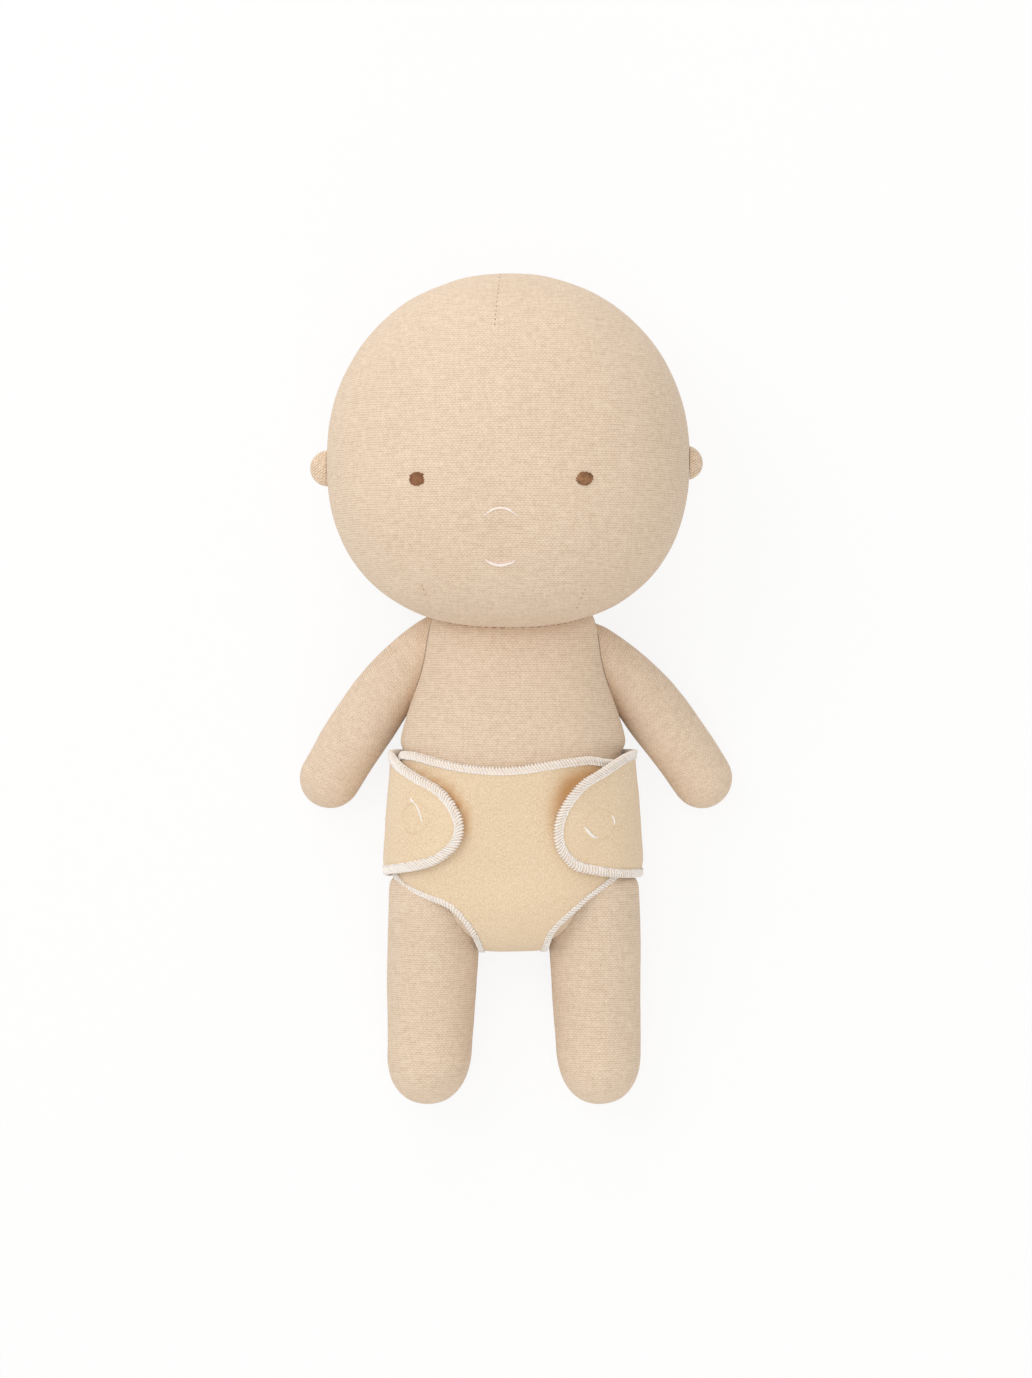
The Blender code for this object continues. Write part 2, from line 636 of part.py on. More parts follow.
def half_outline(wrap, tab_reach):
    """One side of the cut cloth, from the middle of the waistband round to the middle of the back."""
    steps = 24
    crotch = wrap.seat_length / 2
    wing_bottom = wrap.seat_length + WING_BOTTOM_RISE
    corner_across = FRONT_HALF_WIDTH - FRONT_CORNER
    points = []
    for index in range(steps):
        across = corner_across * index / steps
        points.append((across, -FRONT_RISE + FRONT_DIP * (1 - (across / FRONT_HALF_WIDTH) ** 2)))
    upper = (corner_across, FRONT_CORNER - FRONT_RISE)
    lower = (corner_across, LEG_EDGE_DROP - FRONT_CORNER)
    points += superellipse(upper, FRONT_CORNER, FRONT_CORNER, 2, -1, 0, steps)
    points += superellipse(lower, FRONT_CORNER, FRONT_CORNER, 2, 0, 1, steps)
    hole = (FRONT_HALF_WIDTH, crotch)
    hole_across = FRONT_HALF_WIDTH - CROTCH_HALF_WIDTH
    turned = 1 - 2 * FRONT_CORNER / hole_across / math.pi
    points += superellipse(
        hole, hole_across, crotch - LEG_EDGE_DROP, LEG_HOLE_SQUARENESS, -1 - turned * 0.1, -2, 2 * steps
    )
    points += superellipse(hole, hole_across, wing_bottom - crotch, LEG_HOLE_SQUARENESS, 2, 1, 2 * steps)[1:]
    drop_along = wing_middle(wrap) - TAB_DROP
    tip = wrap.half_round(drop_along) - tab_reach
    base = tip - TAB_LENGTH
    tab = superellipse((base, 0), TAB_LENGTH, WING_WIDTH / 2, TAB_SQUARENESS, -1, 1, 3 * steps)
    for across, along in tab:
        sag = TAB_DROP * ((across - base) / TAB_LENGTH) ** 2
        points.append((across, wing_middle(wrap) + along - sag))
    points.append((0, wing_bottom + WING_WIDTH))
    return points


def evenly(wrap, points, count):
    """Points at even steps along a line on the cloth, closer where the wrapped line bends."""
    fine = []
    for near, far in zip(points, points[1:]):
        parts = math.ceil(math.dist(near, far) / FINE_STEP)
        fine += [tuple(mix(*pair, part / parts) for pair in zip(near, far)) for part in range(parts)]
    fine.append(points[-1])
    placed = [wrap.place(*point) for point in fine]
    steps = [after - before for before, after in zip(placed, placed[1:])]
    lengths = [0.0, steps[0].length]
    for before, after in zip(steps, steps[1:]):
        lengths.append(lengths[-1] + after.length + before.angle(after, 0) * BEND_WEIGHT)
    spaced = []
    index = 0
    for step in range(count):
        at = lengths[-1] * step / count
        while lengths[index + 1] < at:
            index += 1
        share = (at - lengths[index]) / (lengths[index + 1] - lengths[index])
        spaced.append(tuple(mix(*pair, share) for pair in zip(fine[index], fine[index + 1])))
    return spaced


def nappy_outline(wrap):
    """The whole outline of the cut cloth, and the direction into the cloth at each of its points."""
    left = half_outline(wrap, TAB_REACH_LEFT)
    right = [(-across, along) for across, along in half_outline(wrap, TAB_REACH_RIGHT)]
    outline = evenly(wrap, left + right[::-1][1:], EDGE_STEPS)
    inward = []
    for index in range(len(outline)):
        before, after = Vector(outline[index - 1]), Vector(outline[(index + 1) % len(outline)])
        step = (after - before).normalized()
        inward.append(Vector((-step.y, step.x)))
    return [Vector(point) for point in outline], inward


def build_nappy_cloth(pieces, wrap, outline, inward):
    """Cuts the cloth flat, scores it with a grid so that it can bend, and wraps it."""
    shape = bmesh.new()
    inset = EDGE_THREAD + EDGE_GAP
    cut = [point + direction * inset for point, direction in zip(outline, inward)]
    shape.faces.new([shape.verts.new((*point, 0)) for point in cut])
    for axis in (0, 1):
        places = [point[axis] for point in cut]
        first = math.floor(min(places) / CLOTH_CELL) + 1
        last = math.ceil(max(places) / CLOTH_CELL) - 1
        for index in range(first, last + 1):
            normal = (1, 0, 0) if axis == 0 else (0, 1, 0)
            origin = [CLOTH_CELL * index * part for part in normal]
            geometry = shape.verts[:] + shape.edges[:] + shape.faces[:]
            bmesh.ops.bisect_plane(shape, geom=geometry, dist=1e-4, plane_co=origin, plane_no=normal)
    bmesh.ops.remove_doubles(shape, verts=shape.verts, dist=CLOTH_CELL / 12)
    for vert in shape.verts:
        vert.co = wrap.place(vert.co.x, vert.co.y)
    cloth = add_piece("nappy_cloth", shape, pieces, NAPPY)
    solidify = cloth.modifiers.new("Cloth thickness", "SOLIDIFY")
    solidify.thickness = CLOTH_THICKNESS
    solidify.offset = 0
    solidify.use_even_offset = True


def build_nappy_edge(pieces, wrap, outline, inward):
    """Overlock thread that folds round the cut edge, as a channel swept along the outline."""
    outer, inner = EDGE_HALF, EDGE_HALF - EDGE_THREAD
    section = ((EDGE_WIDTH, outer), (0, outer), (0, -outer), (EDGE_WIDTH, -outer))
    section += ((EDGE_WIDTH, -inner), (EDGE_THREAD, -inner), (EDGE_THREAD, inner), (EDGE_WIDTH, inner))
    shape = bmesh.new()
    rows = []
    for point, direction in zip(outline, inward):
        row = []
        for depth, out in section:
            across, along = point + direction * depth
            row.append(shape.verts.new(wrap.place(across, along, out)))
        rows.append(row)
    for index, row in enumerate(rows):
        before = rows[index - 1]
        for corner in range(len(section)):
            shape.faces.new((before[corner - 1], before[corner], row[corner], row[corner - 1]))
    add_piece("nappy_overlock_edge", shape, pieces, OVERLOCK)


def dot_spots(wrap):
    """Name, across and along of the middle of each tab's dots."""
    along = wing_middle(wrap) - TAB_DROP + DOT_DROP
    around = wrap.half_round(along)
    left = around - TAB_REACH_LEFT - DOT_FROM_TIP_LEFT
    right = around - TAB_REACH_RIGHT - DOT_FROM_TIP_RIGHT
    return (("left", left, along), ("right", -right, along))


def dot_shape(wrap, middle, out):
    """A disc that lies on the wrap, out from the middle of the tab's cloth."""
    rings = [(0.0, 1), (DOT_RADIUS / 2, DOT_SEGMENTS), (DOT_RADIUS, DOT_SEGMENTS)]
    sides = []
    for face_out in (out - DOT_THICKNESS / 2, out + DOT_THICKNESS / 2):
        side = []
        for radius, count in rings:
            turns = [math.tau * index / count for index in range(count)]
            spots = [(radius * math.cos(turn), radius * math.sin(turn)) for turn in turns]
            side.append([wrap.place(middle[0] + x, middle[1] + y, face_out) for x, y in spots])
        sides.append(side)
    return loft(sides[0] + sides[1][::-1])


def ring_shape(wrap, middle):
    """A ring of thread on the outer face of the tab."""
    radius = DOT_RING_THREAD / 2
    out = CLOTH_HALF + SEAM_GAP + radius
    shape = bmesh.new()
    rows = []
    for index in range(RING_SEGMENTS):
        turn = math.tau * index / RING_SEGMENTS
        row = []
        for corner in range(6):
            twist = math.tau * corner / 6
            reach = DOT_RING_RADIUS + radius * math.cos(twist)
            spot = (middle[0] + reach * math.cos(turn), middle[1] + reach * math.sin(turn))
            row.append(shape.verts.new(wrap.place(*spot, out + radius * math.sin(twist))))
        rows.append(row)
    for index, row in enumerate(rows):
        before = rows[index - 1]
        for corner in range(6):
            shape.faces.new((before[corner - 1], before[corner], row[corner], row[corner - 1]))
    return shape


def build_fastening(pieces, wrap):
    """On each tab a hook dot inside, the loop dot that it grips, and the stitching that shows outside."""
    hook_out = -(CLOTH_HALF + SEAM_GAP + DOT_THICKNESS / 2)
    loop_out = hook_out - DOT_THICKNESS - SEAM_GAP
    for name, across, along in dot_spots(wrap):
        middle = (across, along)
        add_piece("hook_patch_" + name, dot_shape(wrap, middle, hook_out), pieces, DOT)
        add_piece("loop_patch_" + name, dot_shape(wrap, middle, loop_out), pieces, DOT)
        add_piece("patch_stitching_" + name, ring_shape(wrap, middle), pieces, NOSE_THREAD)


def build_nappy(pieces):
    wrap = Wrap()
    outline, inward = nappy_outline(wrap)
    build_nappy_cloth(pieces, wrap, outline, inward)
    build_nappy_edge(pieces, wrap, outline, inward)
    build_fastening(pieces, wrap)


def main():
    clear_scene()
    pieces = new_collection("soft_baby_doll")
    cutters = new_collection("cutters", hidden=True)
    head_cutter = add_cutter("head_seam", head_shape(SEAM_GAP), cutters)
    torso_cutter = add_cutter("torso_seam", torso_shape(SEAM_GAP), cutters)
    build_head(pieces, head_cutter)
    build_eyes(pieces)
    build_nose(pieces)
    build_mouth(pieces)
    build_body(pieces, head_cutter, torso_cutter)
    build_nappy(pieces)


main()
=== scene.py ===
"""Looks of a soft baby doll in a wrap nappy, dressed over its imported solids.

The doll lies on its back on z = 0, with its face up and the crown of its head towards +Y. Its left is +X.
Every bag is a ball that is drawn out to the bag's own form, filled by a cloth simulation under pressure,
tucked in where it is sewn to its neighbour, and cut back there. The nappy is cut flat in its pattern's own
coordinates and wrapped round the torso, and its overlock stitches follow the cut edge one by one.
Metres everywhere.
"""

import logging
import math
from dataclasses import dataclass, field
from enum import Enum
from functools import cache, cached_property

import bmesh
import bpy
import numpy as np
from mathutils import Matrix, Vector, noise
from mathutils.bvhtree import BVHTree

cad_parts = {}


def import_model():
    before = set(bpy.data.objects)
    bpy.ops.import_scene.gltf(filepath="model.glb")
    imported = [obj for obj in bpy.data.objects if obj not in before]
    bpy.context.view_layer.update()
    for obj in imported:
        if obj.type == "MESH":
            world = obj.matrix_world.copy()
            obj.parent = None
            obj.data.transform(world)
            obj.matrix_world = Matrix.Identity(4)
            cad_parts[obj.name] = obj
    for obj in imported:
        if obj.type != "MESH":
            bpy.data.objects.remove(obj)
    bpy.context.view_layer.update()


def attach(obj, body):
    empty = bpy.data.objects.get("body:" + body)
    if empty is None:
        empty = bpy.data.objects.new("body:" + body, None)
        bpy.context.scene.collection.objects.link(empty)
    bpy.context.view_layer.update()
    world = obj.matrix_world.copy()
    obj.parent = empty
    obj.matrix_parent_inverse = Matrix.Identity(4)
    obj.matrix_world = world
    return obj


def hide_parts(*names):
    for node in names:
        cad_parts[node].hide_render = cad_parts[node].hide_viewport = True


Array = np.ndarray
Colour = tuple[int, int, int]
log = logging.getLogger("doll")

ROOT = "root"
SEAM_GAP = 0.0002
CLOTH_MAP = "cloth"
SEAM_MAP = "seam"
# Attribute that holds the painted shadow beside the nappy's tabs.
PAINTED_SHADOW = "painted_fold_shadow"


# Small tools


def linear(colour: Colour, dim: float = 1.0) -> tuple[float, float, float, float]:
    """Gives a screen colour as scene-linear light.

    Args:
        colour: Red, green and blue as a screen shows them, from 0 to 255.
        dim: Factor on the light.

    Returns:
        Red, green, blue and alpha.
    """
    shares = np.array(colour) / 255
    light = np.where(shares <= 0.04045, shares / 12.92, ((shares + 0.055) / 1.055) ** 2.4) * dim
    return (*light.tolist(), 1.0)


def rise(low: float, high: float, at: Array) -> Array:
    """Gives 0 up to low, 1 from high on, and an even rise between them."""
    share = np.clip((np.asarray(at, float) - low) / (high - low), 0, 1)
    return share * share * (3 - 2 * share)


def power(value: Array, exponent: Array | float) -> Array:
    """Raises to a power and keeps the sign, as a superellipse needs."""
    return np.copysign(np.abs(value) ** exponent, value)


def jitter(count: int, seed: float) -> Array:
    """Gives even-handed scatter from -1 to 1 that is the same on each run."""
    return 2 * np.modf(np.abs(np.sin((np.arange(count) + 1) * 12.9898 + seed * 78.233)) * 43758.5453)[0] - 1


def unit(vectors: Array) -> Array:
    """Scales vectors to length one."""
    return vectors / np.maximum(np.linalg.norm(vectors, axis=-1, keepdims=True), 1e-12)


def only(piece: bpy.types.Object) -> None:
    """Selects one piece alone and makes it active."""
    bpy.ops.object.select_all(action="DESELECT")
    piece.select_set(True)
    bpy.context.view_layer.objects.active = piece


def read_points(piece: bpy.types.Object) -> Array:
    """Reads a mesh's points as rows of x, y and z."""
    points = np.empty(len(piece.data.vertices) * 3, np.float32)
    piece.data.vertices.foreach_get("co", points)
    return points.reshape(-1, 3).astype(float)


def read_normals(piece: bpy.types.Object) -> Array:
    """Reads the direction out of the surface at each point."""
    normals = np.empty(len(piece.data.vertices) * 3, np.float32)
    piece.data.vertex_normals.foreach_get("vector", normals)
    return normals.reshape(-1, 3).astype(float)


def write_points(piece: bpy.types.Object, points: Array) -> None:
    """Writes a mesh's points back."""
    piece.data.vertices.foreach_set("co", np.asarray(points, np.float32).ravel())
    piece.data.update()


def new_mesh(name: str, points: Array, faces: list) -> bpy.types.Object:
    """Makes an object of points and faces and links it to the scene."""
    mesh = bpy.data.meshes.new(name)
    mesh.from_pydata(points.reshape(-1, 3).tolist(), [], faces)
    mesh.update()
    piece = bpy.data.objects.new(name, mesh)
    bpy.context.scene.collection.objects.link(piece)
    return piece


def face_outwards(piece: bpy.types.Object) -> None:
    """Turns every face of a closed piece outwards."""
    only(piece)
    bpy.ops.object.mode_set(mode="EDIT")
    bpy.ops.mesh.select_all(action="SELECT")
    bpy.ops.mesh.normals_make_consistent(inside=False)
    bpy.ops.object.mode_set(mode="OBJECT")


def smooth(piece: bpy.types.Object, degrees: float) -> None:
    """Shades a piece smooth, but for edges sharper than an angle."""
    only(piece)
    bpy.ops.object.shade_smooth_by_angle(angle=math.radians(degrees))


def apply_all(piece: bpy.types.Object) -> None:
    """Applies every modifier of a piece, in order."""
    only(piece)
    for modifier in list(piece.modifiers):
        bpy.ops.object.modifier_apply(modifier=modifier.name)


def seat(piece: bpy.types.Object, material: bpy.types.Material, slot: str, *nodes: str) -> None:
    """Dresses a finished piece and puts it on the frame.

    Args:
        piece: The finished piece.
        material: Its finish.
        slot: Not used.
        nodes: The solids that it stands for.
    """
    piece.data.materials.clear()
    piece.data.materials.append(material)
    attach(piece, ROOT)
    if nodes:
        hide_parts(*nodes)
    log.info("%s: %d points, stands for %s", piece.name, len(piece.data.vertices), ", ".join(nodes) or "itself")


def tubes(name: str, centres: Array, beside: Array, radius: Array | float, sides: int = 5) -> bpy.types.Object:
    """Makes threads of one round section each, closed at both ends.

    Args:
        name: Name of the piece.
        centres: Centre lines, as threads by points by 3.
        beside: A direction across each thread at each point.
        radius: Thread radius, one value or threads by points.
        sides: Corners of the section.

    Returns:
        One piece that holds all the threads.
    """
    threads, steps, _ = centres.shape
    along = unit(np.gradient(centres, axis=1))
    beside = unit(beside - along * (beside * along).sum(-1, keepdims=True))
    above = np.cross(along, beside)
    turns = math.tau * np.arange(sides) / sides
    reach = np.broadcast_to(np.asarray(radius, float), (threads, steps))[..., None, None]
    ring = beside[:, :, None] * np.cos(turns)[:, None] + above[:, :, None] * np.sin(turns)[:, None]
    points = centres[:, :, None] + ring * reach
    index = np.arange(threads * steps * sides).reshape(threads, steps, sides)
    after = np.roll(index, -1, axis=2)
    walls = np.stack([index[:, :-1], after[:, :-1], after[:, 1:], index[:, 1:]], axis=-1).reshape(-1, 4)
    faces = walls.tolist() + index[:, 0, ::-1].tolist() + index[:, -1].tolist()
    piece = new_mesh(name, points, faces)
    face_outwards(piece)
    smooth(piece, 60)
    return piece


# Finishes


class Recipe:
    """A material's nodes, added one at a time round one Principled shader."""

    def __init__(self, name: str, roughness: float) -> None:
        """Starts a material.

        Args:
            name: Name of the material.
            roughness: Even roughness of the surface.
        """
        self.material = bpy.data.materials.new(name)
        self.material.use_nodes = True
        self.tree = self.material.node_tree
        self.shader = self.tree.nodes["Principled BSDF"]
        self.shader.inputs["Roughness"].default_value = roughness
        self.shader.inputs["Specular IOR Level"].default_value = 0.25

    def put(self, socket: bpy.types.NodeSocket, value: object) -> None:
        """Links a socket to another, or sets its plain value."""
        if isinstance(value, bpy.types.NodeSocket):
            self.tree.links.new(value, socket)
        elif value is not None:
            socket.default_value = value

    def node(self, kind: str, inputs: dict, **settings: object) -> bpy.types.Node:
        """Adds a node.

        Args:
            kind: The node's type, without ShaderNode.
            inputs: Values or sockets by input name or number.
            settings: The node's own options.

        Returns:
            The node.
        """
        made = self.tree.nodes.new("ShaderNode" + kind)
        for key, value in settings.items():
            setattr(made, key, value)
        for key, value in inputs.items():
            self.put(made.inputs[key], value)
        return made

    def math(self, operation: str, first: object, second: object = None, third: object = None) -> bpy.types.NodeSocket:
        """Adds one step of arithmetic and gives its result."""
        return self.node("Math", {0: first, 1: second, 2: third}, operation=operation).outputs[0]

    def spot(self) -> bpy.types.NodeSocket:
        """Gives the place on the piece, in metres."""
        return self.node("TexCoord", {}).outputs["Object"]

    def map(self, name: str) -> tuple[bpy.types.NodeSocket, bpy.types.NodeSocket]:
        """Gives the two coordinates of one of the piece's own maps."""
        parts = self.node("SeparateXYZ", {0: self.node("UVMap", {}, uv_map=name).outputs[0]})
        return parts.outputs[0], parts.outputs[1]

    def noise(self, vector: bpy.types.NodeSocket, scale: float, detail: float = 2.0) -> bpy.types.NodeSocket:
        """Gives soft noise about 0.5."""
        return self.node("TexNoise", {"Vector": vector, "Scale": scale, "Detail": detail}).outputs[0]

    def stretch(self, across: object, along: object, scale: tuple[float, float], depth: object = 0.0) -> bpy.types.NodeSocket:
        """Gives a vector of two coordinates, each scaled by itself, and of a third."""
        wide = self.math("MULTIPLY", across, scale[0])
        long = self.math("MULTIPLY", along, scale[1])
        return self.node("CombineXYZ", {0: wide, 1: long, 2: depth}).outputs[0]

    def fade(self, value: object, start: float, end: float, low: float = 0.0, high: float = 1.0) -> bpy.types.NodeSocket:
        """Gives low up to start and high from end on, with an even change between them."""
        inputs = {"Value": value, "From Min": start, "From Max": end, "To Min": low, "To Max": high}
        return self.node("MapRange", inputs, interpolation_type="SMOOTHSTEP").outputs[0]

    def blend(self, factor: object, first: object, second: object) -> bpy.types.NodeSocket:
        """Mixes two colours, from the first at 0 to the second at 1."""
        return self.node("Mix", {0: factor, 6: first, 7: second}, data_type="RGBA").outputs[2]

    def tint(self, colour: Colour, factor: object, dark: Colour) -> bpy.types.NodeSocket:
        """Mixes a dark colour into a colour, by a factor that is 1 where the colour is full."""
        return self.blend(factor, linear(dark), linear(colour))

    def finish(self, colour: bpy.types.NodeSocket, height: object, depth: float, strength: float) -> bpy.types.Material:
        """Joins colour and bump to the shader.

        Args:
            colour: Colour of the surface.
            height: Bump height, about 0 to 1.
            depth: What a height of 1 is in metres.
            strength: Strength of the bump.

        Returns:
            The material.
        """
        self.put(self.shader.inputs["Base Color"], colour)
        bump = self.node("Bump", {"Strength": strength, "Distance": depth, "Height": height})
        self.put(self.shader.inputs["Normal"], bump.outputs[0])
        return self.material


@dataclass(frozen=True)
class WovenCotton:
    """Unbleached plain-weave cotton with slubs, and the seam line that joins two panels, with painted shade in its
    groove and stitch holes.
    """

    name: str = "woven_cotton"
    colour: Colour = (249, 229, 206)
    shade: Colour = (176, 142, 108)
    warp_pitch: float = 0.00086
    weft_pitch: float = 0.00101
    weave_contrast: float = 0.36
    line_contrast: float = 0.24
    slub_contrast: float = 0.29

    @cache
    def material(self) -> bpy.types.Material:
        """Builds the finish."""
        mix = Recipe(self.name, 0.9)
        mix.shader.inputs["Sheen Weight"].default_value = 0.12
        mix.shader.inputs["Sheen Roughness"].default_value = 0.5
        across, along = mix.map(CLOTH_MAP)
        spot = mix.spot()
        sway = mix.math("MULTIPLY_ADD", mix.noise(spot, 45.0), 0.0016, -0.0008)
        sway_fine = mix.math("MULTIPLY_ADD", mix.noise(spot, 260.0), 0.0005, -0.00025)
        across = mix.math("ADD", across, sway_fine)
        along = mix.math("ADD", mix.math("ADD", along, sway), sway_fine)
        warp = mix.math("SINE", mix.math("MULTIPLY", across, math.pi / self.warp_pitch))
        weft = mix.math("SINE", mix.math("MULTIPLY", along, math.pi / self.weft_pitch))
        over = mix.fade(mix.math("MULTIPLY", warp, weft), -0.25, 0.25)
        warp_round = mix.math("MULTIPLY", mix.math("POWER", mix.math("ABSOLUTE", warp), 0.6), 0.62)
        weft_round = mix.math("POWER", mix.math("ABSOLUTE", weft), 0.6)
        height = mix.node("Mix", {0: over, 2: warp_round, 3: weft_round}).outputs[0]
        side = mix.math("MULTIPLY", mix.node("SeparateXYZ", {0: spot}).outputs[0], 70.0)
        slub = mix.noise(mix.stretch(across, along, (190.0, 1050.0), side), 1.0, 1.0)
        cross_slub = mix.noise(mix.stretch(across, along, (1150.0, 260.0), side), 1.0, 1.0)
        cloud = mix.noise(spot, 32.0, 3.0)
        level = mix.math("MULTIPLY_ADD", height, self.weave_contrast, 0.72 - 0.66 * self.weave_contrast)
        line = mix.math("POWER", mix.math("SUBTRACT", 1.0, mix.math("ABSOLUTE", weft)), 1.4)
        broken = mix.fade(mix.noise(mix.stretch(across, along, (420.0, 620.0), side), 1.0, 1.0), 0.38, 0.60)
        line = mix.math("MULTIPLY", line, broken)
        level = mix.math("SUBTRACT", level, mix.math("MULTIPLY_ADD", line, self.line_contrast, -0.13 * self.line_contrast))
        for part, share in ((slub, self.slub_contrast), (cross_slub, self.slub_contrast), (cloud, 0.10)):
            level = mix.math("ADD", level, mix.math("MULTIPLY_ADD", part, share, -share / 2))
        # Painted shade: the colour darkens along the seam's groove and darker still at its stitch holes; the same mask
        # sinks the groove in the bump.
        beside, down = mix.map(SEAM_MAP)
        far = mix.fade(mix.math("ABSOLUTE", beside), 0.0001, 0.0009)
        hole = mix.fade(mix.math("SINE", mix.math("MULTIPLY", down, math.tau / 0.0024)), 0.2, 0.8, 0.45, 1.0)
        seam = mix.math("MAXIMUM", far, mix.math("MULTIPLY", hole, 0.6))
        level = mix.math("MINIMUM", level, mix.math("MULTIPLY_ADD", seam, 1.1, 0.10))
        colour = mix.tint(self.colour, mix.node("Clamp", {0: level}).outputs[0], self.shade)
        relief = mix.math("ADD", mix.math("MULTIPLY", height, 0.5), mix.math("MULTIPLY", seam, 1.6))
        relief = mix.math("ADD", relief, mix.math("MULTIPLY", slub, 0.5))
        return mix.finish(colour, relief, 0.00022, 0.55)


@dataclass(frozen=True)
class BrushedFleece:
    """Brushed cotton fleece: short matted fibres with no thread showing, and a warm painted shadow beside the tabs'
    edges.
    """

    name: str = "brushed_fleece"
    colour: Colour = (248, 227, 196)
    shade: Colour = (210, 176, 136)
    # Colour of the painted shadow beside the tabs' edges.
    painted_fold_shadow: Colour = (207, 151, 86)

    @cache
    def material(self) -> bpy.types.Material:
        """Builds the finish."""
        mix = Recipe(self.name, 0.95)
        mix.shader.inputs["Sheen Weight"].default_value = 0.25
        mix.shader.inputs["Sheen Roughness"].default_value = 0.6
        across, along = mix.map(CLOTH_MAP)
        fibre = mix.noise(mix.stretch(across, along, (1500.0, 1100.0)), 1.0, 4.0)
        clump = mix.noise(mix.stretch(across, along, (420.0, 360.0)), 1.0, 3.0)
        cloud = mix.noise(mix.spot(), 40.0, 2.0)
        level = 0.70
        for part, share in ((fibre, 1.5), (clump, 0.35), (cloud, 0.25)):
            level = mix.math("ADD", level, mix.math("MULTIPLY_ADD", part, share, -share / 2))
        colour = mix.tint(self.colour, mix.node("Clamp", {0: level}).outputs[0], self.shade)
        # Painted shadow: a warm dark colour mixed in beside the tabs' edges, by the attribute that the nappy's cloth
        # carries.
        painted_fold_shadow = mix.node("Attribute", {}, attribute_name=PAINTED_SHADOW).outputs["Fac"]
        colour = mix.blend(painted_fold_shadow, colour, linear(self.painted_fold_shadow))
        relief = mix.math("ADD", fibre, mix.math("MULTIPLY", clump, 0.9))
        return mix.finish(colour, relief, 0.0004, 0.5)


@dataclass(frozen=True)
class Thread:
    """Sewing or embroidery thread with a soft sheen, uneven dye and, where asked, painted shade on one side."""

    name: str
    colour: Colour
    shade: Colour
    gloss: float = 0.6
    sheen: float = 0.1
    painted_shade_side: tuple[float, float, float] | None = None

    @cache
    def material(self) -> bpy.types.Material:
        """Builds the finish."""
        mix = Recipe(self.name, self.gloss)
        mix.shader.inputs["Sheen Weight"].default_value = self.sheen
        spot = mix.spot()
        ply = mix.noise(spot, 1800.0, 1.0)
        patch = mix.noise(spot, 420.0, 2.0)
        level = mix.math("ADD", mix.math("MULTIPLY", ply, 0.6), mix.math("MULTIPLY", patch, 0.7))
        # Painted shade: darker towards one side of the given spot, along (0.8, 0.6), over the given reach.
        if self.painted_shade_side:
            x, y, reach = self.painted_shade_side
            away = mix.node("VectorMath", {0: spot, 1: (x, y, 0.0)}, operation="SUBTRACT").outputs[0]
            tilt = mix.node("VectorMath", {0: away, 1: (0.8, 0.6, 0.0)}, operation="DOT_PRODUCT").outputs["Value"]
            level = mix.math("SUBTRACT", level, mix.fade(tilt, -reach / 4, reach, 0.0, 0.75))
        colour = mix.tint(self.colour, mix.fade(level, 0.3, 0.9, 0.1, 1.0), self.shade)
        return mix.finish(colour, ply, 0.00015, 0.5)


COTTON = WovenCotton()
EAR_COTTON = WovenCotton("ear_cotton", weave_contrast=0.60, line_contrast=0.55)
FLEECE = BrushedFleece()
OVERLOCK = Thread("overlock_thread", (255, 251, 247), (250, 240, 230), 0.7, 0.3)
OVERLOCK_BASE = Thread("overlock_base", (246, 232, 218), (232, 212, 194), 0.9)
EYE_BROWN = Thread("eye_thread", (160, 112, 78), (108, 70, 42), 0.55)
# The doll's left eye has painted shade towards the doll's left and its crown.
EYE_SHADED = Thread("eye_thread_shaded", (176, 130, 92), (82, 50, 28), 0.55, 0.1, (0.0357, 0.0905, 0.0030))
# Underlay under the eye stitches, darker than their thread as painted shade in the gaps between them.
EYE_UNDER_SHADE = Thread("eye_under_painted_shade", (112, 74, 46), (88, 56, 32), 0.8)
FACE_PALE = Thread("face_thread", (255, 248, 243), (255, 238, 230), 0.55, 0.4)
FACE_FILL = Thread("face_fill_thread", (255, 236, 226), (246, 218, 204), 0.6, 0.3)
# Painted shade: the neck's ladder stitches are darker than the cotton, standing in for the shade in their holes.
SHADED_SEWING = Thread("sewing_thread_painted_shade", (178, 134, 98), (128, 84, 58), 0.8)
DART_THREAD = Thread("dart_thread", (200, 164, 130), (172, 132, 98), 0.8)
DOT_WHITE = Thread("dot_stitch_thread", (255, 253, 248), (252, 244, 234), 0.6, 0.4)
DOT_FAINT = Thread("dot_ring_thread", (240, 220, 188), (222, 196, 158), 0.8)
HOOK_LOOP = Thread("hook_and_loop", (238, 226, 208), (214, 196, 170), 0.85)


# Forms


@dataclass(frozen=True)
class Profile:
    """A smooth curve through stations, each a place and a value."""

    stations: tuple[tuple[float, float], ...]

    def __call__(self, at: Array) -> Array:
        """Gives the curve's value at each place."""
        places, values = np.array(self.stations).T
        last = len(places) - 1
        near = np.arange(last + 1)
        ahead, behind = np.minimum(near + 1, last), np.maximum(near - 1, 0)
        slopes = (values[ahead] - values[behind]) / (places[ahead] - places[behind])
        at = np.clip(at, places[0], places[-1])
        index = np.searchsorted(places[1:-1], at, side="left")
        width = places[index + 1] - places[index]
        share = (at - places[index]) / width
        bend = slopes[index] * share * (1 - share) ** 2 - slopes[index + 1] * share**2 * (1 - share)
        step = values[index + 1] - values[index]
        return values[index] + step * rise(0, 1, share) + bend * width


def on_floor(points: Array, bend: float = 0.0012) -> Array:
    """Presses stuffed cloth flat on the floor, with a soft bend beside the flat."""
    height = points[..., 2]
    points[..., 2] = (height + np.hypot(height, bend)) / 2
    return points


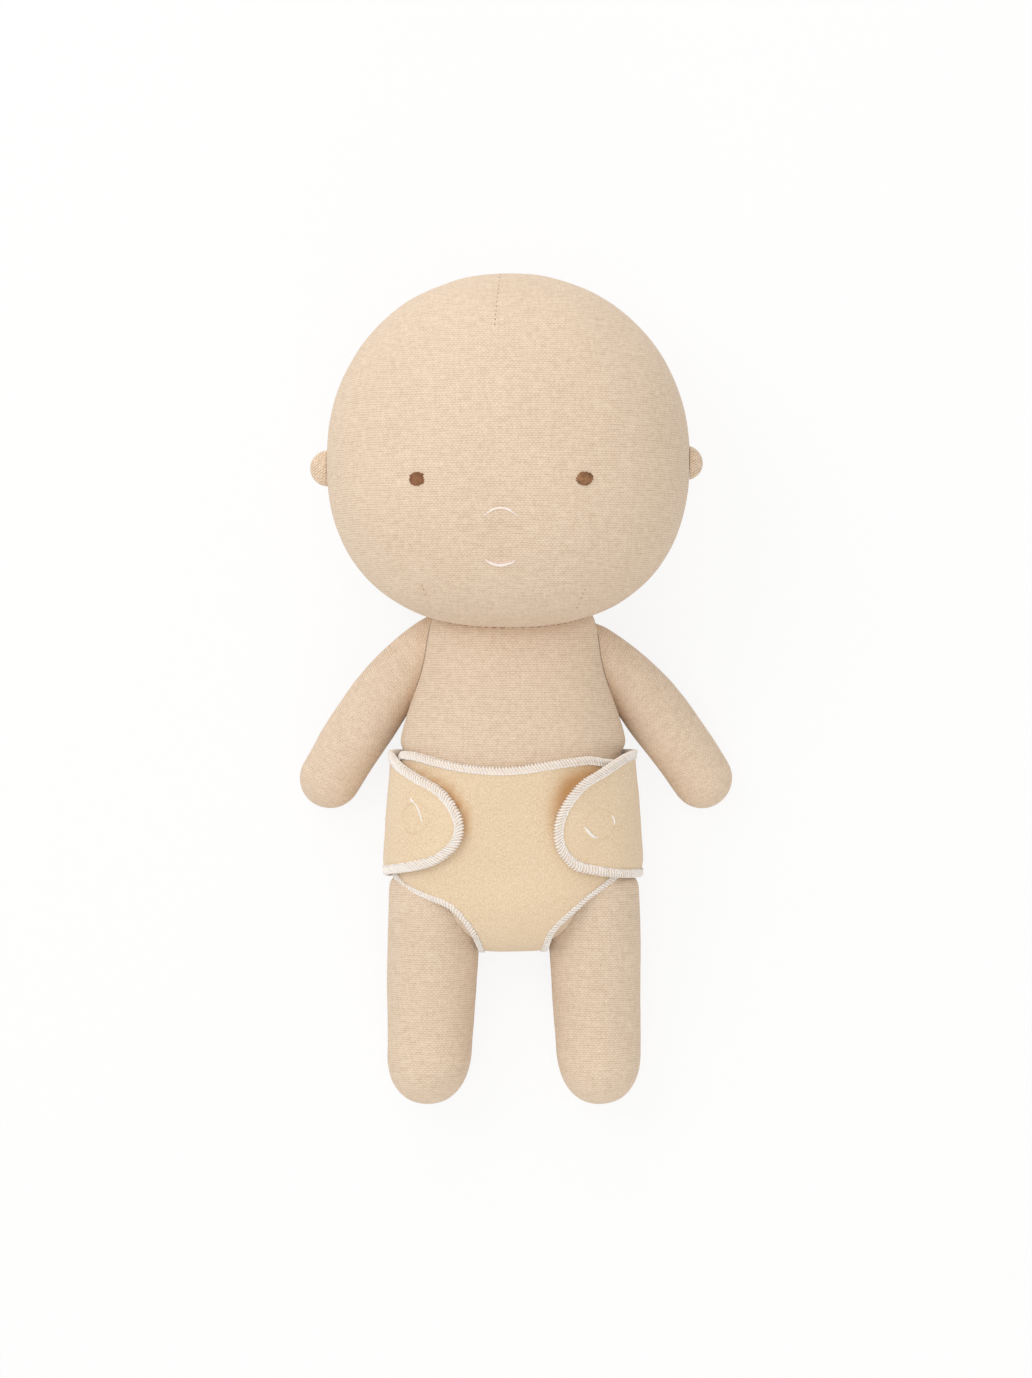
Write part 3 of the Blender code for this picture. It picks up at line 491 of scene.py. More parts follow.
@dataclass
class Bag:
    """A stuffed cloth bag, drawn out of a ball. Shares run from 0 at one pole to 1 at the other."""

    name: str
    segments: int = 64
    rings: int = 48
    draw_in: float = 0.0008
    cap: float = 0.0007
    plump: float = 0.0
    fill: float = 0.8
    grain: float = 0.0

    def surface(self, share: Array, turn: Array) -> Array:
        """Gives the bag's outside at each share and turn, where turn 0 is its front."""
        raise NotImplementedError

    def held(self, points: Array) -> Array:
        """Tells which points the filling doesn't push out: those on the floor."""
        return points[:, 2] < 0.0010

    def from_seam(self, points: Array, from_side: Array) -> Array:
        """Gives each point's distance from the bag's seam, which runs along its sides."""
        return from_side

    def ball(self) -> bpy.types.Object:
        """Draws a ball out to the bag's form and lays the cloth's own coordinates on it."""
        bpy.ops.object.select_all(action="DESELECT")
        bpy.ops.mesh.primitive_uv_sphere_add(segments=self.segments, ring_count=self.rings, radius=1.0)
        piece = bpy.context.object
        piece.name = self.name
        piece.data.name = self.name
        start = read_points(piece)
        share = np.arccos(np.clip(start[:, 2], -1, 1)) / math.pi
        turn = np.arctan2(start[:, 0], start[:, 1])
        write_points(piece, self.surface(share, turn))
        self.lay_maps(piece, share, turn)
        face_outwards(piece)
        return piece

    def lay_maps(self, piece: bpy.types.Object, share: Array, turn: Array) -> None:
        """Lays the weave's map and the seam's map on the ball.

        Args:
            piece: The ball, already drawn out.
            share: Share of each point.
            turn: Turn of each point.
        """
        shares = np.linspace(0, 1, 97)
        turns = np.linspace(0, math.pi, 65)
        grid = self.surface(*np.meshgrid(shares, turns, indexing="ij"))
        round_steps = np.linalg.norm(np.diff(grid, axis=1), axis=2)
        around = np.concatenate([np.zeros((97, 1)), np.cumsum(round_steps, axis=1)], axis=1)
        down_steps = np.linalg.norm(np.diff(grid[:, 0], axis=0), axis=1)
        down = np.concatenate([[0.0], np.cumsum(down_steps)])
        row = np.clip(share * 96, 0, 95.9999)
        column = np.clip(np.abs(turn) / math.pi * 64, 0, 63.9999)
        low, left = row.astype(int), column.astype(int)
        up, side = row - low, column - left
        near = around[low, left] * (1 - side) + around[low, left + 1] * side
        far = around[low + 1, left] * (1 - side) + around[low + 1, left + 1] * side
        across = near * (1 - up) + far * up
        middle = around[low, 32] * (1 - up) + around[low + 1, 32] * up
        along = np.interp(share * 96, np.arange(97), down)
        beside = self.from_seam(read_points(piece), across - middle)
        across, along = (
            across * math.cos(self.grain) - along * math.sin(self.grain),
            across * math.sin(self.grain) + along * math.cos(self.grain),
        )
        while piece.data.uv_layers:
            piece.data.uv_layers.remove(piece.data.uv_layers[0])
        corner = np.empty(len(piece.data.loops), np.int32)
        piece.data.loops.foreach_get("vertex_index", corner)
        for name, first, second in ((CLOTH_MAP, across, along), (SEAM_MAP, beside, along)):
            layer = piece.data.uv_layers.new(name=name)
            both = np.stack([first, second], axis=1)[corner]
            layer.data.foreach_set("uv", both.astype(np.float32).ravel())

    def fill_up(self, piece: bpy.types.Object) -> None:
        """Fills the bag: cloth under pressure, from a slightly smaller start, with a cap on its travel."""
        rest = read_points(piece)
        held = self.held(rest)
        free = (~held)[:, None]
        outward = read_normals(piece)
        write_points(piece, rest - outward * self.draw_in * free)
        group = piece.vertex_groups.new(name="held")
        group.add(np.flatnonzero(held).tolist(), 1.0, "REPLACE")
        cloth = piece.modifiers.new("Filling", "CLOTH")
        cloth.settings.quality = 4
        cloth.settings.mass = 0.2
        cloth.settings.vertex_group_mass = group.name
        cloth.settings.use_pressure = True
        cloth.settings.uniform_pressure_force = 4
        cloth.settings.effector_weights.gravity = 0
        cloth.point_cache.frame_start = 1
        cloth.point_cache.frame_end = 20
        for frame in range(1, 21):
            bpy.context.scene.frame_set(frame)
        graph = bpy.context.evaluated_depsgraph_get()
        swollen = piece.evaluated_get(graph)
        moved = read_points(swollen) - rest
        piece.modifiers.remove(cloth)
        piece.vertex_groups.clear()
        travel = np.linalg.norm(moved, axis=1, keepdims=True)
        moved *= np.minimum(1, self.cap / np.maximum(travel, 1e-9)) * free
        write_points(piece, rest + moved + outward * self.plump * free)
        bpy.context.scene.frame_set(1)
        subdivision = piece.modifiers.new("Fine mesh", "SUBSURF")
        subdivision.levels = subdivision.render_levels = 1
        apply_all(piece)

    def lump(self, piece: bpy.types.Object, size: float = 0.022, depth: float = 0.0003) -> None:
        """Gives the filled cloth the small unevenness of stuffing under it."""
        points, normals = read_points(piece), read_normals(piece)
        place = points / size
        bumps = np.array([noise.noise(Vector(spot)) for spot in place])
        fine = np.array([noise.noise(Vector(spot * 2.7 + 5)) for spot in place])
        points += normals * ((bumps + fine * 0.4) * depth * rise(0.0, 0.004, points[:, 2]))[:, None]
        write_points(piece, points)

    def make(self) -> bpy.types.Object:
        """Makes the filled bag, not yet cut back where it is sewn on."""
        piece = self.ball()
        self.fill_up(piece)
        self.lump(piece)
        return piece


def tuck(piece: bpy.types.Object, other: bpy.types.Object, reach: float, depth: float) -> None:
    """Draws a bag in beside the bag that it is sewn to.

    Args:
        piece: The bag that is drawn in.
        other: Its neighbour.
        reach: How far from the neighbour the cloth is drawn in.
        depth: How deep.
    """
    graph = bpy.context.evaluated_depsgraph_get()
    tree = BVHTree.FromObject(other, graph)
    points, normals = read_points(piece), read_normals(piece)
    for index, spot in enumerate(points):
        found, facing, _, distance = tree.find_nearest(spot, 3 * reach)
        if found is None:
            continue
        outside = (Vector(spot) - found).dot(facing) > 0
        pull = depth * (math.exp(-((distance / reach) ** 2)) if outside else 1.0)
        points[index] -= normals[index] * pull
    write_points(piece, points)


def cut_back(piece: bpy.types.Object, *others: bpy.types.Object) -> None:
    """Cuts a bag to the shape of the bags that it is sewn to, a hair clear of them."""
    for other in others:
        cutter = other.copy()
        cutter.data = other.data.copy()
        bpy.context.scene.collection.objects.link(cutter)
        write_points(cutter, read_points(cutter) + read_normals(cutter) * SEAM_GAP)
        modifier = piece.modifiers.new("Seam", "BOOLEAN")
        modifier.operation = "DIFFERENCE"
        modifier.solver = "EXACT"
        modifier.object = cutter
        apply_all(piece)
        bpy.data.objects.remove(cutter, do_unlink=True)


# Body


@dataclass
class Head(Bag):
    """The round head, flattened where it lies, and its place on the floor."""

    name: str = "stuffed_head"
    segments: int = 80
    rings: int = 60
    plump: float = 0.0008
    width: float = 0.1564
    depth: float = 0.1240
    crown_height: float = 0.0801
    chin_height: float = 0.0725
    crown_squareness: float = 2.09
    chin_squareness: float = 2.32
    sink: float = 0.0020
    offset: float = -0.0021
    turned: float = math.radians(3.0)
    ear_line: float = 0.1006

    @property
    def place(self) -> Matrix:
        """Turns and shifts the head's own frame to its place on the floor."""
        spot = (self.offset, self.ear_line, self.depth / 2 - self.sink)
        return Matrix.Translation(spot) @ Matrix.Rotation(-self.turned, 4, "Y")

    def placed(self, points: Array) -> Array:
        """Moves points from the head's own frame to its place."""
        turn = np.array(self.place)
        return points @ turn[:3, :3].T + turn[:3, 3]

    def semi(self, level: Array) -> tuple[Array, Array]:
        """Gives the head's height and squareness at a level from -1 at the neck to 1 at the crown."""
        height = np.where(level > 0, self.crown_height, self.chin_height)
        share = rise(-0.5, 0.5, level)
        return height, self.chin_squareness + (self.crown_squareness - self.chin_squareness) * share

    def surface(self, share: Array, turn: Array) -> Array:
        """Gives the head's outside."""
        level = np.cos(np.pi * share)
        height, square = self.semi(level)
        girth = np.maximum(1 - np.abs(level) ** square, 0) ** (1 / square)
        across = self.width / 2 * girth * power(np.sin(turn), 2 / square)
        out = self.depth / 2 * girth * power(np.cos(turn), 2 / square)
        return on_floor(self.placed(np.stack([across, height * level, out], axis=-1)))

    def level_of(self, points: Array) -> Array:
        """Gives 1 on the head's surface, less inside it and more outside it."""
        turn = np.array(self.place.inverted())
        local = points @ turn[:3, :3].T + turn[:3, 3]
        level = local[..., 1] / np.where(local[..., 1] > 0, self.crown_height, self.chin_height)
        _, square = self.semi(level)
        wide = np.abs(local[..., 0] / (self.width / 2)) ** square
        deep = np.abs(local[..., 2] / (self.depth / 2)) ** square
        return wide + np.abs(level) ** square + deep

    def face(self, across: Array, drop: Array, lift: Array | float) -> Array:
        """Gives spots on the face, lifted out of the cloth.

        Args:
            across: From the head's middle, positive to the doll's left.
            drop: Down from the ear line.
            lift: Out of the cloth.

        Returns:
            The spots in their place.
        """
        height, square = self.semi(-drop / self.chin_height)
        left = 1 - np.abs(across / (self.width / 2)) ** square - np.abs(drop / height) ** square
        spots = np.stack([across, -drop, self.depth / 2 * left ** (1 / square)], axis=-1)
        facing = unit(spots / np.array([self.width / 2, self.chin_height, self.depth / 2]) ** 2)
        return self.placed(spots + facing * np.asarray(lift)[..., None])


@dataclass
class Ear(Bag):
    """A small stuffed disc in the head's side seam."""

    head: Head | None = None
    side: int = 1
    segments: int = 32
    rings: int = 24
    draw_in: float = 0.0004
    cap: float = 0.0004
    plump: float = 0.0004
    radius: float = 0.0074
    thickness: float = 0.0078
    inset: float = 0.0017
    drop: float = 0.0014
    grain: float = 0.6

    def surface(self, share: Array, turn: Array) -> Array:
        """Gives the ear's outside, with its poles up and down along the head."""
        level = np.cos(np.pi * share)
        girth = np.sin(np.pi * share)
        across = self.radius * girth * np.sin(turn)
        out = self.thickness / 2 * girth * np.cos(turn)
        local = np.stack([across, self.radius * level, out], axis=-1)
        local += np.array([self.side * (self.head.width / 2 - self.inset), -self.drop, 0])
        return self.head.placed(local)

    def held(self, points: Array) -> Array:
        """Tells which points are inside the head."""
        return self.head.level_of(points) < 1.05

    def from_seam(self, points: Array, from_side: Array) -> Array:
        """Gives each point's distance from the head, which the ear is sewn into; the cotton finish paints shade in the
        crease along it.
        """
        return (self.head.level_of(points) ** 0.45 - 1) * self.head.width / 2


@dataclass
class Torso(Bag):
    """The torso, which runs up into the neck. Down is the distance below the neck seam."""

    name: str = "stuffed_torso"
    segments: int = 72
    rings: int = 64
    neck_y: float = 0.0281
    length: float = 0.1385
    end: float = 0.0365
    end_fullness: float = 0.7
    squareness: float = 2.3
    seam_height: float = 0.0315
    back: float = 0.0033
    back_flat: float = 0.0030
    back_bend: float = 0.0020
    neck_inset: float = 0.0160
    nape_drop: float = 0.0260
    hips: float = 0.1102
    end_y: float = -0.1104
    squeeze: float = 0.0026

    @cached_property
    def widths(self) -> Profile:
        """Full width by distance below the neck seam."""
        stations = ((0, 0.0760), (0.0185, 0.0836), (0.0410, 0.0968), (0.0500, 0.1000), (self.hips, 0.1050))
        return Profile(((-self.neck_inset, 0.0640), *stations))

    @cached_property
    def fronts(self) -> Profile:
        """Height of the front."""
        return Profile(((-self.neck_inset, 0.0620), (0, 0.0650), (0.0560, 0.0680), (self.hips, 0.0600)))

    @cached_property
    def backs(self) -> Profile:
        """Height of the back, which reaches the floor below the nape."""
        low = self.back - self.back_flat
        return Profile(((-self.neck_inset, 0.0220), (0, 0.0075), (self.nape_drop, low), (self.hips, low)))

    def section(self, down: Array) -> tuple[Array, Array, Array, Array]:
        """Gives half-width, side seam height, front and back at a distance below the neck seam."""
        share = rise(-self.neck_inset, self.nape_drop, down)
        middle = 0.0420 + (self.seam_height - 0.0420) * share
        waist = self.squeeze * rise(0.0500, 0.0550, down) * (1 - 0.55 * rise(0.056, 0.096, down))
        waist = waist + 0.0012 * rise(0.1000, 0.1070, down)
        return self.widths(down) / 2 - waist, middle, self.fronts(down), self.backs(down)

    def pressed(self, height: Array, lowest: Array | float) -> Array:
        """Presses stuffed cloth flat at a lowest level, with a soft bend beside the flat."""
        over = height - lowest
        rest = math.hypot(self.back_flat, self.back_bend) - self.back_flat
        return lowest + (over + np.hypot(over, self.back_bend) - rest) / 2

    def ring(self, down: Array, turn: Array, scale: Array) -> Array:
        """Gives points round the torso."""
        half, middle, front, back = self.section(down)
        depth = np.where(np.cos(turn) > 0, front - middle, middle - back)
        across = half * scale * power(np.sin(turn), 2 / self.squareness)
        height = middle + depth * scale**self.end_fullness * power(np.cos(turn), 2 / self.squareness)
        return np.stack([across, self.neck_y - down, self.pressed(height, self.back)], axis=-1)

    def surface(self, share: Array, turn: Array) -> Array:
        """Gives the torso's outside: a flat top inside the head, a straight run and a rounded bottom."""
        share = np.asarray(share, float)
        straight = self.length - self.end
        top = np.clip(share / 0.10, 0, 1)
        run = -self.neck_inset + (straight + self.neck_inset) * np.clip((share - 0.10) / 0.60, 0, 1)
        bend = np.pi / 2 * np.clip((share - 0.70) / 0.30, 0, 1)
        down = run + self.end * np.sin(bend)
        return self.ring(down, turn, np.clip(np.minimum(top, np.cos(bend)), 0, 1))

    def held(self, points: Array) -> Array:
        """Tells which points the nappy or the floor presses."""
        return points[:, 2] < self.back + 0.0006


@dataclass
class Arm(Bag):
    """A bent arm without fingers, from inside the shoulder to the round hand."""

    torso: Torso | None = None
    side: int = 1
    segments: int = 44
    rings: int = 56
    plump: float = 0.0008
    root_drop: float = 0.0046
    elbow_reach: float = 0.0525
    elbow_drop: float = 0.0172
    hand_radius: float = 0.0134
    flatness: float = 0.93

    @cached_property
    def widths(self) -> Profile:
        """Full width by share of the bend."""
        return Profile(((0, 0.0224), (0.62, 0.0280), (1, 0.0268)))

    def surface(self, share: Array, turn: Array) -> Array:
        """Gives the arm's outside."""
        share, turn = np.broadcast_arrays(np.asarray(share, float), turn)
        torso = self.torso
        deep = self.hand_radius * self.flatness - 0.0012
        root = np.array([self.side * 0.0260, torso.neck_y - self.root_drop, 0.0350])
        elbow = np.array([self.side * self.elbow_reach, torso.neck_y - self.elbow_drop, 0.0260])
        hand = np.array([self.side * 0.0822 + 0.0013, torso.neck_y - 0.0655, deep])
        cap = np.clip(share / 0.06, 0, 1)
        bend = np.clip((share - 0.06) / 0.76, 0, 1)[..., None]
        dome = np.pi / 2 * np.clip((share - 0.82) / 0.18, 0, 1)
        centre = (root * (1 - bend) + elbow * bend) * (1 - bend) + (elbow * (1 - bend) + hand * bend) * bend
        along = unit((elbow - root) * (1 - bend) + (hand - elbow) * bend)
        centre = centre + along * (self.hand_radius * np.sin(dome))[..., None]
        across = unit(np.stack([along[..., 1], -along[..., 0], np.zeros_like(share)], axis=-1))
        up = np.cross(across, along) * self.flatness
        half = (self.widths(bend[..., 0]) / 2 * np.minimum(cap, np.cos(dome)))[..., None]
        ring = across * np.sin(turn)[..., None] + up * np.cos(turn)[..., None]
        return on_floor(centre + ring * half)


@dataclass
class Leg(Bag):
    """A straight leg that tapers from the thigh to a rounded sole."""

    torso: Torso | None = None
    side: int = 1
    segments: int = 48
    rings: int = 52
    plump: float = 0.0011
    length: float = 0.0703
    inset: float = 0.0324
    hip_spread: float = 0.0684
    foot_spread: float = 0.0762
    shift: float = 0.0005
    thigh: tuple[float, float] = (0.0398, 0.0404)
    foot: tuple[float, float] = (0.0358, 0.0360)
    root_height: float = 0.0334
    calf_share: float = 0.75
    root_rounding: float = 0.0100
    sole_rounding: float = 0.0225
    sole_squareness: float = 2.2
    root_squareness: float = 4.2

    def surface(self, share: Array, turn: Array) -> Array:
        """Gives the leg's outside."""
        share, turn = np.broadcast_arrays(np.asarray(share, float), turn)
        whole = self.length + self.inset
        root, sole = self.root_rounding / whole, self.sole_rounding / whole
        start = root * (1 - np.cos(np.pi / 2 * np.clip(share / 0.18, 0, 1)))
        run = (1 - root - sole) * np.clip((share - 0.18) / 0.60, 0, 1)
        tip = sole * np.sin(np.pi / 2 * np.clip((share - 0.78) / 0.22, 0, 1))
        at = start + run + tip
        near = np.maximum(1 - at / root, 0)
        far = np.clip(1 - (1 - at) / sole, 0, 1)
        root_girth = (1 - near**self.root_squareness) ** (1 / self.root_squareness)
        girth = root_girth * (1 - far**self.sole_squareness) ** (1 / self.sole_squareness)
        taper = rise(0.2, 1, at)
        half = [(big + (small - big) * taper) * girth / 2 for big, small in zip(self.thigh, self.foot)]
        reach = (self.hip_spread + (self.foot_spread - self.hip_spread) * at) / 2
        foot_height = self.foot[1] / 2 - 0.0012
        height = self.root_height + (foot_height - self.root_height) * rise(0, self.calf_share, at)
        x = self.side * reach + self.shift + half[0] * np.sin(turn)
        y = self.torso.end_y + self.inset - at * whole
        return on_floor(np.stack([x, y, height + half[1] * np.cos(turn)], axis=-1))


# Nappy


@dataclass
class Wrap:
    """Carries points of the flat nappy pattern to their place round the torso.

    Across runs from the middle line, positive to the doll's left. Along is 0 where the front turns in
    between the legs, negative above that, and grows under the seat and up the back.
    """

    torso: Torso
    ease: float = 0.0017
    seat_depth: float = 0.0300
    tab_lift: float = 0.0037
    front_half: float = 0.0640
    wing_rise: float = 0.0240
    curl: float = 0.0009
    flap_at: tuple[float, float] = (0.1155, 0.0440)
    flap_reach: float = 0.0120
    flap_lift: float = 0.0022
    hollow_at: tuple[float, float] = (0.0240, -0.0430)
    hollow_reach: float = 0.0095
    hollow_depth: float = 0.0014

    def __post_init__(self) -> None:
        """Measures the turn under the seat, and how far it is round each row."""
        self.start = self.torso.length + self.ease - self.seat_depth
        self.turns = np.linspace(0, math.pi, 241)
        seat = self.seat_spot(self.turns, np.zeros(241), np.full(241, self.ease))
        steps = np.linalg.norm(np.diff(seat, axis=0), axis=1)
        self.seat_arcs = np.concatenate([[0.0], np.cumsum(steps)])
        self.seat_length = float(self.seat_arcs[-1])
        self.rows = np.linspace(-0.075, self.seat_length + 0.075, 401)
        row, turn = np.meshgrid(self.rows, self.turns, indexing="ij")
        grid = self.spot(row.ravel(), turn.ravel(), np.full(row.size, self.ease)).reshape(401, 241, 3)
        arcs = np.cumsum(np.linalg.norm(np.diff(grid, axis=1), axis=2), axis=1)
        self.arcs = np.concatenate([np.zeros((401, 1)), arcs], axis=1)
        self.dots: list[tuple[float, float]] = []

    def shaped(self, turn: Array) -> tuple[Array, Array]:
        """Gives the across and the out share of a turn round the torso."""
        square = 2 / self.torso.squareness
        return np.abs(np.sin(turn)) ** square, np.abs(np.cos(turn)) ** square

    def seat_spot(self, seat_turn: Array, turn: Array, grow: Array) -> Array:
        """Gives points where the cloth turns in between the legs."""
        half, middle, front, back = self.torso.section(np.full_like(seat_turn, self.start))
        deep, high = self.shaped(seat_turn)
        height = np.where(np.cos(seat_turn) > 0, front - middle + grow, back - middle - grow) * high
        reach = -(self.seat_depth - self.ease + grow) * deep
        side, out = self.shaped(turn)
        out = np.where(turn < math.pi / 2, out, -out)
        return np.stack([(half + grow) * side, self.torso.neck_y - self.start + reach * out, middle + height * out], -1)

    def belt_spot(self, down: Array, from_back: Array, turn: Array, grow: Array) -> Array:
        """Gives points round the belly and the back."""
        half, middle, front, back = self.torso.section(down)
        side, out = self.shaped(turn)
        to_front = np.where(from_back, turn >= math.pi / 2, turn < math.pi / 2)
        reach = np.where(to_front, front - middle + grow, back - middle - grow)
        return np.stack([(half + grow) * side, self.torso.neck_y - down, middle + reach * out], -1)

    def spot(self, along: Array, turn: Array, grow: Array) -> Array:
        """Gives points of the wrap by row and by turn round it."""
        from_back = along > self.seat_length
        down = np.where(from_back, self.start - (along - self.seat_length), self.start + along)
        belt = self.belt_spot(np.minimum(down, self.start), from_back, turn, grow)
        seat_turn = np.interp(along, self.seat_arcs, np.linspace(0, math.pi, 241))
        seat = self.seat_spot(seat_turn, turn, grow)
        on_seat = (along >= 0) & ~from_back
        points = np.where(on_seat[:, None], seat, belt)
        points[:, 2] = self.torso.pressed(points[:, 2], self.torso.back - grow)
        return points

    def half_round(self, along: Array) -> Array:
        """Gives how far it is from the middle line to the opposite one."""
        return np.interp(along, self.rows, self.arcs[:, -1])

    def lift(self, across: Array, along: Array) -> Array:
        """Gives how far the cloth stands out: the wings pass over the front, and their edges curl up."""
        edge = self.half_round(along) - self.front_half - 0.0003
        passed = np.abs(across) - edge
        over = rise(-self.wing_rise, 0, passed) * (along > self.seat_length)
        away = np.full(len(across), 1.0)
        for spot_across, spot_along in self.dots:
            away = np.minimum(away, np.hypot(across - spot_across, along - spot_along))
        curl = self.curl * rise(0.009, 0.024, away) * rise(0.085, 0.102, np.abs(across))
        flap = np.hypot(across - self.flap_at[0], along - self.seat_length - self.flap_at[1]) / self.flap_reach
        return over * (self.tab_lift + curl + self.flap_lift * np.exp(-(flap**2)))

    def hollow(self, across: Array, along: Array) -> Array:
        """Gives how far the front sinks beside the tab that stands away from it."""
        away = np.hypot(across - self.hollow_at[0], along - self.hollow_at[1]) / self.hollow_reach
        return self.hollow_depth * np.exp(-(away**2))

    def ripple(self, across: Array, along: Array) -> Array:
        """Gives the small waves of cloth that is pulled round a soft body."""
        slow = np.sin(across * 118 + along * 61) * np.sin(along * 143 - across * 37 + 0.8)
        quick = np.sin(across * 263 - along * 211 + 1.7) * np.sin(along * 301 + across * 96)
        return 0.00022 * slow + 0.00009 * quick

    def place(self, across: Array, along: Array, out: Array | float = 0.0) -> Array:
        """Gives the place of pattern points, moved out from the middle of the cloth.

        Args:
            across: From the middle line.
            along: From where the front turns in between the legs.
            out: Out of the cloth's middle, negative towards the doll.

        Returns:
            One point for each.
        """
        across, along = np.asarray(across, float).ravel(), np.asarray(along, float).ravel()
        row = np.clip(np.interp(along, self.rows, np.arange(401)), 0, 399.9999)
        low = row.astype(int)
        share = (row - low)[:, None]
        arcs = self.arcs[low] * (1 - share) + self.arcs[low + 1] * share
        reach = np.abs(across)
        index = np.clip((arcs < reach[:, None]).sum(axis=1), 1, 240)
        each = np.arange(len(index))
        start, end = arcs[each, index - 1], arcs[each, index]
        part = np.clip((reach - start) / np.maximum(end - start, 1e-9), 0, 1)
        turn = self.turns[index - 1] * (1 - part) + self.turns[index] * part
        grow = self.ease + self.lift(across, along) - self.hollow(across, along)
        grow = grow + self.ripple(across, along) + np.asarray(out, float).ravel()
        points = self.spot(along, turn, np.broadcast_to(grow, along.shape))
        points[:, 0] = np.copysign(points[:, 0], across)
        points[:, 2] = np.maximum(points[:, 2], 0.0004)
        return points


class Side(Enum):
    """The doll's own sides."""

    LEFT = 1
    RIGHT = -1


def millimetres(*stations: tuple[float, float]) -> tuple[tuple[float, float], ...]:
    """Gives stations that are written in millimetres in metres."""
    return tuple((across / 1000, along / 1000) for across, along in stations)


LEFT_OF_WAIST = ((3, -50.4), (14, -52.1), (25, -53.6), (34, -54.4), (44, -53.1), (64, -52))
RIGHT_OF_WAIST = ((-64, -55.4), (-56, -56.4), (-45, -55.8), (-33, -53.4), (-21.5, -51.2), (-8, -50))
WAIST = Profile(millimetres(*RIGHT_OF_WAIST, *LEFT_OF_WAIST))
TABS = {
    Side.RIGHT: millimetres(
        *((72, -25.9), (87, -24.6), (98.9, -22.8), (108.8, -19.5), (116.2, -13.2), (118.7, -6)),
        *((116.7, 1.9), (109.2, 11.2), (97, 17.4), (81, 23.6), (72, 26.6), (64, 27.2)),
    ),
    Side.LEFT: millimetres(
        *((72, -26.9), (90, -26.6), (104.3, -24.7), (114.3, -21.7), (120.4, -14.6), (121.9, -6.2)),
        *((119.8, 2.4), (112.8, 13.1), (102.3, 19.1), (90.1, 24.5), (80, 26.8), (64, 27.2)),
    ),
}
LEG_EDGES = {
    Side.RIGHT: millimetres(
        *((56.5, -1), (47.5, 4.6), (38.4, 8), (28.9, 10.9), (22.9, 15.9)),
        *((18.5, 22.2), (16, 29.6), (14.6, 39), (14.5, 49.6)),
    ),
    Side.LEFT: millimetres(
        *((56.5, -6), (48, -2.6), (35.6, 6.1), (23.4, 16.6), (19, 21)),
        *((16.3, 26.8), (14.8, 37), (14.5, 49.6)),
    ),
}


